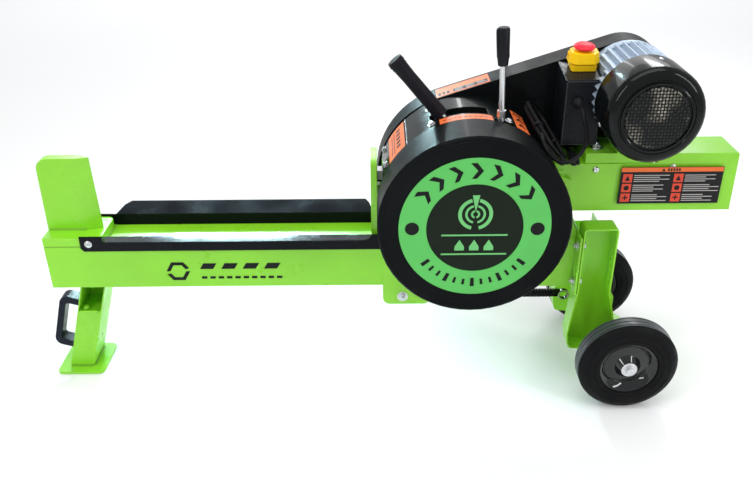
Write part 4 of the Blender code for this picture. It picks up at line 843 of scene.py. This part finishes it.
def build_cowl_grille():
    """The perforated disc in the cowl's face, its rim, and the screws round the cowl."""
    low, high = (Vector(c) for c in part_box("motor_fan_cowl"))
    face_y = low.y
    cx, cz = (low.x + high.x) / 2, (low.z + high.z) / 2
    radius, pitch, hole = 0.0590, 0.0078, 0.0025
    across = Vector((math.cos(math.radians(45)), 0, math.sin(math.radians(45))))
    up = Vector((-across.z, 0, across.x))
    plate = bmesh.new()
    count = int(radius / pitch) + 1
    middle = Vector((cx, face_y, cz))
    front, back = -0.0012, -0.0001
    for i in range(-count, count + 1):
        for j in range(-count, count + 1):
            here = middle + across * (i * pitch) + up * (j * pitch)
            if (here - middle).length > radius - pitch * 0.5:
                continue
            outer, inner, deep = [], [], []
            for m in range(8):
                a = math.pi / 8 + math.pi * m / 4
                edge = pitch / 2 / max(abs(math.cos(a)), abs(math.sin(a)))
                spread = across * math.cos(a) + up * math.sin(a)
                outer.append(plate.verts.new(here + spread * edge + Vector((0, front, 0))))
                inner.append(plate.verts.new(here + spread * hole + Vector((0, front, 0))))
                deep.append(plate.verts.new(here + spread * hole + Vector((0, back, 0))))
            for m in range(8):
                n = (m + 1) % 8
                plate.faces.new((outer[m], outer[n], inner[n], inner[m]))
                plate.faces.new((inner[m], inner[n], deep[n], deep[m]))
    piece("cowl_grille", plate, BLACK, "frame", smooth=False)

    def circle(shape, r, height, segments):
        return [shape.verts.new(middle + Vector((r * math.sin(a), -height, r * math.cos(a))))
                for a in round_turn(segments)]

    # a disc behind the holes: near-black painted shade with pale painted light through the fan
    back_plate = bmesh.new()
    back_plate.faces.new(circle(back_plate, 0.9 * radius, 0.0001, 64))
    piece("cowl_grille_shadow", back_plate, VENT_PAINTED_LIGHT, "frame")
    ring = bmesh.new()
    profile = [(radius - 0.0012, 0.0), (radius - 0.0012, 0.0016), (radius + 0.0002, 0.0022),
               (radius + 0.0018, 0.0016), (radius + 0.0024, 0.0)]
    skin(ring, [circle(ring, r, h, 72) for r, h in profile], loop=True)
    piece("cowl_grille_rim", ring, BLACK, "frame")
    screws = bmesh.new()
    for lean in (0, 120, 240):
        a = math.radians(lean + 8)
        out = Vector((math.sin(a), 0, math.cos(a)))
        dome_bolt(screws, middle + out * 0.0845 + Vector((0, 0.060, 0)), out, 0.0045)
    piece("cowl_screws", screws, BOLT_ZINC, "frame")


# ---------------------------------------------------------------- wheels

TYRE_STEPS = 96


def build_tyres():
    """Solid tyres with three tread grooves, rounded shoulders, and rings pressed into the side walls."""
    for name, body in (("near_tyre", "near_wheel"), ("far_tyre", "far_wheel")):
        low, high = (Vector(c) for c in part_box(name))
        axle = (low + high) / 2
        r = (high.z - low.z) / 2
        half = (high.y - low.y) / 2
        side = [(q, depth - half) for q, depth in (
            (0.0560, 0.0040), (0.0575, 0.0016), (0.0610, 0.0006), (0.0640, 0.0002), (0.0650, 0.0011),
            (0.0662, 0.0011), (0.0672, 0.0002), (0.0740, 0.0003), (0.0772, 0.0006), (0.0780, 0.0014),
            (0.0790, 0.0014), (0.0798, 0.0008), (r - 0.0095, 0.0032), (r - 0.0050, 0.0062),
            (r - 0.0018, 0.0096), (r - 0.0004, 0.0118))]
        tread = [(r, -0.0140)]
        for groove in (-0.0105, 0.0, 0.0105):
            tread += [(r, groove - 0.0013), (r - 0.0007, groove - 0.0010), (r - 0.0026, groove - 0.0008),
                      (r - 0.0026, groove + 0.0008), (r - 0.0007, groove + 0.0010), (r, groove + 0.0013)]
        tread.append((r, 0.0140))
        profile = side + tread + [(q, -y) for q, y in reversed(side)]
        shape = bmesh.new()
        rings = [[shape.verts.new(axle + Vector((q * math.sin(a), y, q * math.cos(a))))
                  for a in round_turn(TYRE_STEPS)] for q, y in profile]
        skin(shape, rings, loop=True)
        for number, face in enumerate(shape.faces):
            band = number // TYRE_STEPS
            # the tread bands take the lighter material, whose colour is a painted sky reflection
            face.material_index = int(len(side) - 1 <= band < len(side) + len(tread))
        tyre = piece(name + "_moulded", shape, [TYRE, TREAD_PAINTED_SHEEN], body, angle=38)
        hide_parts(name)


# ---------------------------------------------------------------- grips and switch


def build_grips():
    """Ribs along the lever's grip, rings on the handle's grip, and the nuts on both pivots."""
    low, high = (Vector(c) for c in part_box("lever_grip"))
    foot = Vector(((low.x + high.x) / 2 + 0.0022, (low.y + high.y) / 2, low.z))
    top = Vector(((low.x + high.x) / 2 - 0.0030, foot.y, high.z))
    axis = (top - foot).normalized()
    side = Vector((0, 1, 0))
    other = axis.cross(side).normalized()
    reach = (top - foot).length
    ribs = bmesh.new()
    radius = (high.y - low.y) / 2
    for k in range(16):
        a = math.pi * (k + 0.5) / 8
        out = side * math.cos(a) + other * math.sin(a)
        across = axis.cross(out)
        ends = []
        for along, share in ((0.16, 0.84), (0.24, 0.98), (0.60, 1.0), (0.90, 0.985), (0.95, 0.90)):
            here = foot + axis * (along * reach)
            r = radius * share
            ends.append([ribs.verts.new(here + out * (r + rise) + across * width) for rise, width in (
                (-0.0010, 0.0013), (0.0004, 0.0006), (0.0004, -0.0006), (-0.0010, -0.0013))])
        skin(ribs, ends)
        ribs.faces.new(ends[0])
        ribs.faces.new(ends[-1])
    piece("lever_grip_ribs", ribs, PLASTIC, "lever")

    lean = math.radians(39.9)
    heading = Vector((-math.sin(lean), 0, math.cos(lean)))
    pivot = at(-0.0210, -0.022, 0.5180)
    collars = bmesh.new()
    for start, r in ((0.0535, 0.0142), (0.1700, 0.0146), (0.1760, 0.0152)):
        collar = [(r - 0.0014, -0.0016), (r, -0.0010), (r + 0.0002, 0.0), (r, 0.0010), (r - 0.0014, 0.0016)]
        turned(collars, collar, pivot + heading * start, heading, 28)
    piece("handle_grip_rings", collars, GRIP, "safety_handle")
    nuts = bmesh.new()
    hex_bolt(nuts, pivot + Vector((0, -0.0125, 0)), NEAR, 0.0060)
    piece("handle_pivot_nut", nuts, BOLT_ZINC, "safety_handle", bevel=0.0002)
    hub = bmesh.new()
    hex_bolt(hub, at(0.0300, -0.0702, 0.5000), NEAR, 0.0068, stub=True)
    piece("lever_pivot_nut", hub, BOLT_ZINC, "lever", bevel=0.0002)


def build_switch_details():
    """Raised bars round the yellow flap, grey strips along the box's edges as painted highlights, and rings
    on the cable gland.
    """
    low, high = (Vector(c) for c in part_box("switch_flap"))
    tilt = math.radians(7.37)
    across, along = Vector((1, 0, 0)), Vector((0, math.cos(tilt), math.sin(tilt)))
    up = Vector((0, -math.sin(tilt), math.cos(tilt)))
    middle = at(0.2065, 0.034, 0.0)
    middle.z = low.z + 0.0125
    bars = bmesh.new()
    for k in range(12):
        a = 2 * math.pi * k / 12 + 0.26
        out = across * math.cos(a) + along * math.sin(a) * 0.74
        here = middle + out * 0.0272 + up * (-0.0015)
        flat = Vector((-math.sin(a), 0, 0)) + along * math.cos(a)
        flat.normalize()
        ends = [[bars.verts.new(here + flat * 0.0034 * s + out.normalized() * 0.0013 * t + up * h)
                 for s, t in ((-1, -1), (1, -1), (1, 1), (-1, 1))] for h in (-0.0060, 0.0060)]
        skin(bars, ends)
        bars.faces.new(ends[0])
        bars.faces.new(ends[1])
    piece("switch_flap_bars", bars, YELLOW, "flap", bevel=0.0006)
    box_low, box_high = (Vector(c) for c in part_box("switch_box"))
    # thin grey strips along the box's top, left and lower edges: painted edge highlights
    edges = bmesh.new()
    top = 0.6165

    def place(u, v, h):
        return Vector((u, box_low.y - h, v))

    for u0, u1, v0, v1 in ((box_low.x + 0.003, box_high.x - 0.003, top - 0.0011, top),
                           (box_low.x + 0.0022, box_low.x + 0.0031, box_low.z + 0.004, top),
                           (box_low.x + 0.003, box_high.x - 0.003, box_low.z + 0.0035, box_low.z + 0.0043)):
        slab(edges, place, u0, u1, v0, v1, 0.0, 0.0004)
    piece("switch_box_painted_edge_highlights", edges, EDGE_PAINTED_HIGHLIGHT, "frame", bevel=0.0001)
    nut = bmesh.new()
    gland = at(0.1930, -0.0203, 0.5770)
    turned(nut, [(0.0112, 0.0), (0.0118, 0.0008), (0.0118, 0.0034), (0.0108, 0.0042)], gland, NEAR, 24, 6)
    for k in range(3):
        turned(nut, [(0.0089, 0.0), (0.0093, 0.0004), (0.0093, 0.0008), (0.0089, 0.0012)],
               gland + Vector((0, -0.0058 - 0.0018 * k, 0)), NEAR, 20)
    piece("gland_rings", nut, PLASTIC, "frame", bevel=0.0002)


# ---------------------------------------------------------------- welds and small fittings


def build_welds():
    beads = bmesh.new()
    plate_low, plate_high = (Vector(c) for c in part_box("wedge_base_plate"))
    beam_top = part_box("front_beam")[1][2]
    y, z = plate_low.y + 0.0006, beam_top + 0.0002
    bead(beads, [(plate_low.x + 0.002, y, z), (FX - 0.7480, y, z)], 0.0013)
    x, z = plate_high.x + 0.0006, plate_low.z + 0.0012
    bead(beads, [(x, -0.046, z), (x, 0.046, z)], 0.0020, seed=5)
    wedge_low, wedge_high = (Vector(c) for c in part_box("splitting_wedge"))
    z = wedge_low.z + 0.0004
    for side in (-1, 1):
        y = side * 0.0108
        bead(beads, [(wedge_low.x + 0.004, y, z), (wedge_high.x - 0.030, y, z)], 0.0024, seed=7 + side)
    leg_low, leg_high = (Vector(c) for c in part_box("front_leg"))
    y, z = -0.0270, leg_high.z
    bead(beads, [(leg_low.x + 0.062, y, z), (leg_high.x - 0.002, y, z)], 0.0016, seed=11)
    x, z = leg_low.x, 0.0062
    bead(beads, [(x + 0.002, -0.0280, z), (x + 0.050, -0.0280, z)], 0.0018, seed=12)
    bead(beads, [(x + 0.0525, -0.0260, z), (x + 0.0525, 0.0430, z)], 0.0018, seed=13)
    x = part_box("rear_end_plate")[0][0] - 0.0004
    bead(beads, [(x, -0.0552, 0.222), (x, -0.0552, 0.300)], 0.0018, seed=14)
    piece("weld_beads", beads, WELD, "frame")


def build_fittings():
    """Screws through the trays, the motor's bolts, the leg's tab, and the return spring with its eye."""
    fittings = bmesh.new()
    screw = [(0.0072, 0.0), (0.0074, 0.0006), (0.0074, 0.0022), (0.0062, 0.0034), (0.0058, 0.0036)]
    for side in (-1, 1):
        turned(fittings, screw, at(-0.7300, side * 0.0514, 0.3130), (0, side, 0), 28)
    washer = [(0.0108, 0.0), (0.0110, 0.0008), (0.0104, 0.0014)]
    turned(fittings, washer, at(0.2380, -0.0160, 0.4882), UP, 28)
    hex_bolt(fittings, at(0.2380, -0.0160, 0.4896), UP, 0.0078, stub=True)
    hex_bolt(fittings, at(0.2380, 0.0180, 0.4882), UP, 0.0078, stub=True)
    piece("tray_and_motor_bolts", fittings, BOLT_ZINC, "frame", bevel=0.0002)

    def on_tray(u, v, h):
        return at(-0.7300 + u, -0.0514 - h, 0.3130 + v)

    slots = bmesh.new()
    slab(slots, on_tray, -0.0048, 0.0048, -0.0006, 0.0006, 0.0036, 0.00375)
    piece("tray_bolt_slot", slots, DISC_INK, "frame")
    heads = bmesh.new()
    dome_bolt(heads, at(-0.7745, -0.0185, 0.1475), (-0.25, -0.2, 0.95), 0.0062)
    piece("leg_tab_bolt", heads, GREEN, "frame")

    eye = bmesh.new()
    centre = at(0.2130, -0.0034, 0.158)
    loops = []
    for a in round_turn(10):
        r, h = 0.0102 + 0.0018 * math.cos(a), 0.0018 * math.sin(a)
        loops.append([eye.verts.new(centre + Vector((r * math.sin(t), -h, r * math.cos(t))))
                      for t in round_turn(40)])
    skin(eye, loops, loop=True)
    piece("spring_eye_ring", eye, EYE_ZINC, "frame")
    coils = bmesh.new()
    coil = [(0.0084, -0.0015), (0.0092, -0.0006), (0.0092, 0.0006), (0.0084, 0.0015)]
    for k in range(13):
        turned(coils, coil, at(0.118 + 0.0058 * k, 0.0, 0.162), (1, 0, 0.25), 20)
    piece("return_spring_coils", coils, DISC_BLACK, "frame")


def build_beam_mark():
    """A plain hexagon and bars on the beam's near side."""
    face_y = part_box("front_beam")[0][1]

    def place(u, v, h):
        return at(u, face_y - h, v)

    mark = bmesh.new()
    cx, cz = -0.5650, 0.2490
    inner, outer = 0.0155, 0.0235
    for k in range(6):
        a, b = (math.radians(60 * m + 30) for m in (k, k + 1))
        if k in (0, 3):
            b = a + (b - a) * 0.72
        bar = [(cx + r * math.sin(t), cz + r * math.cos(t))
               for r, t in ((outer, a), (outer, b), (inner, b), (inner, a))]
        figure(mark, place, bar, LABEL)
    low, high = 0.2535, 0.2665
    for k in range(4):
        x = -0.5220 + 0.0420 * k
        figure(mark, place, [(x, low), (x + 0.0260, low), (x + 0.0340, high), (x + 0.0080, high)], LABEL)
    for k in range(10):
        x = -0.5200 + 0.0165 * k
        strip(mark, place, x, x + 0.0108, 0.2315, 0.2370, LABEL)
    piece("beam_mark", mark, DISC_INK, "frame")


# ---------------------------------------------------------------- floor, light, finish


def build_studio():
    """A plain pale floor, a pale sky and soft lamps."""
    floor = bmesh.new()
    bmesh.ops.create_grid(floor, x_segments=1, y_segments=1, size=6.0)
    mesh = bpy.data.meshes.new("studio_floor")
    floor.to_mesh(mesh)
    floor.free()
    s = Shader("studio_floor", (0.93, 0.93, 0.93), 0.7)
    s.paint(s.ramp(s.noise(1.2, 2.0), 0.3, 0.7, 0.0, 0.4), (0.90, 0.90, 0.90))
    mesh.materials.append(s.material)
    plane = bpy.data.objects.new("studio_floor", mesh)
    plane.location.z = -0.0005
    bpy.context.scene.collection.objects.link(plane)

    world = bpy.data.worlds.new("studio")
    bpy.context.scene.world = world
    world.use_nodes = True
    background = world.node_tree.nodes["Background"]
    background.inputs["Color"].default_value = (0.97, 0.985, 1.0, 1.0)
    background.inputs["Strength"].default_value = 0.66

    def softbox(name, place, aim, size, watts, colour=(1.0, 1.0, 1.0), spread=180):
        data = bpy.data.lights.new(name, "AREA")
        data.shape = "RECTANGLE"
        data.size, data.size_y = size
        data.energy = watts
        data.color = colour
        data.spread = math.radians(spread)
        lamp = bpy.data.objects.new(name, data)
        lamp.location = place
        lamp.rotation_euler = (Vector(aim) - Vector(place)).to_track_quat("-Z", "Y").to_euler()
        bpy.context.scene.collection.objects.link(lamp)

    softbox("overhead", (0.1, -0.3, 2.6), (0.0, 0.0, 0.3), (2.2, 1.2), 26)
    softbox("front_left", (-1.7, -1.7, 1.7), (0.0, 0.0, 0.35), (0.22, 1.6), 17)
    softbox("front_right", (1.9, -1.3, 1.3), (0.3, 0.0, 0.4), (0.20, 1.4), 13)
    softbox("back_strip", (0.24, 2.3, 1.40), (0.20, 0.0, 0.5), (0.08, 1.1), 2.0)
    softbox("back_left", (-0.74, 2.3, 1.50), (-0.25, 0.0, 0.3), (0.60, 0.50), 4.5, (0.60, 0.93, 1.0), 24)
    softbox("far_floor", (0.0, 4.4, 2.6), (0.0, 3.6, 0.0), (6.0, 1.5), 60)
    softbox("back_right", (1.1, 2.0, 1.9), (0.45, 0.0, 0.6), (0.5, 0.5), 10)


build_bolts()
build_guard_details()
build_drum_labels()
build_housing_label()
build_disc_print()
build_cowl_grille()
build_tyres()
build_grips()
build_switch_details()
build_welds()
build_fittings()
build_beam_mark()
build_studio()

bpy.context.scene.view_settings.view_transform = "Standard"
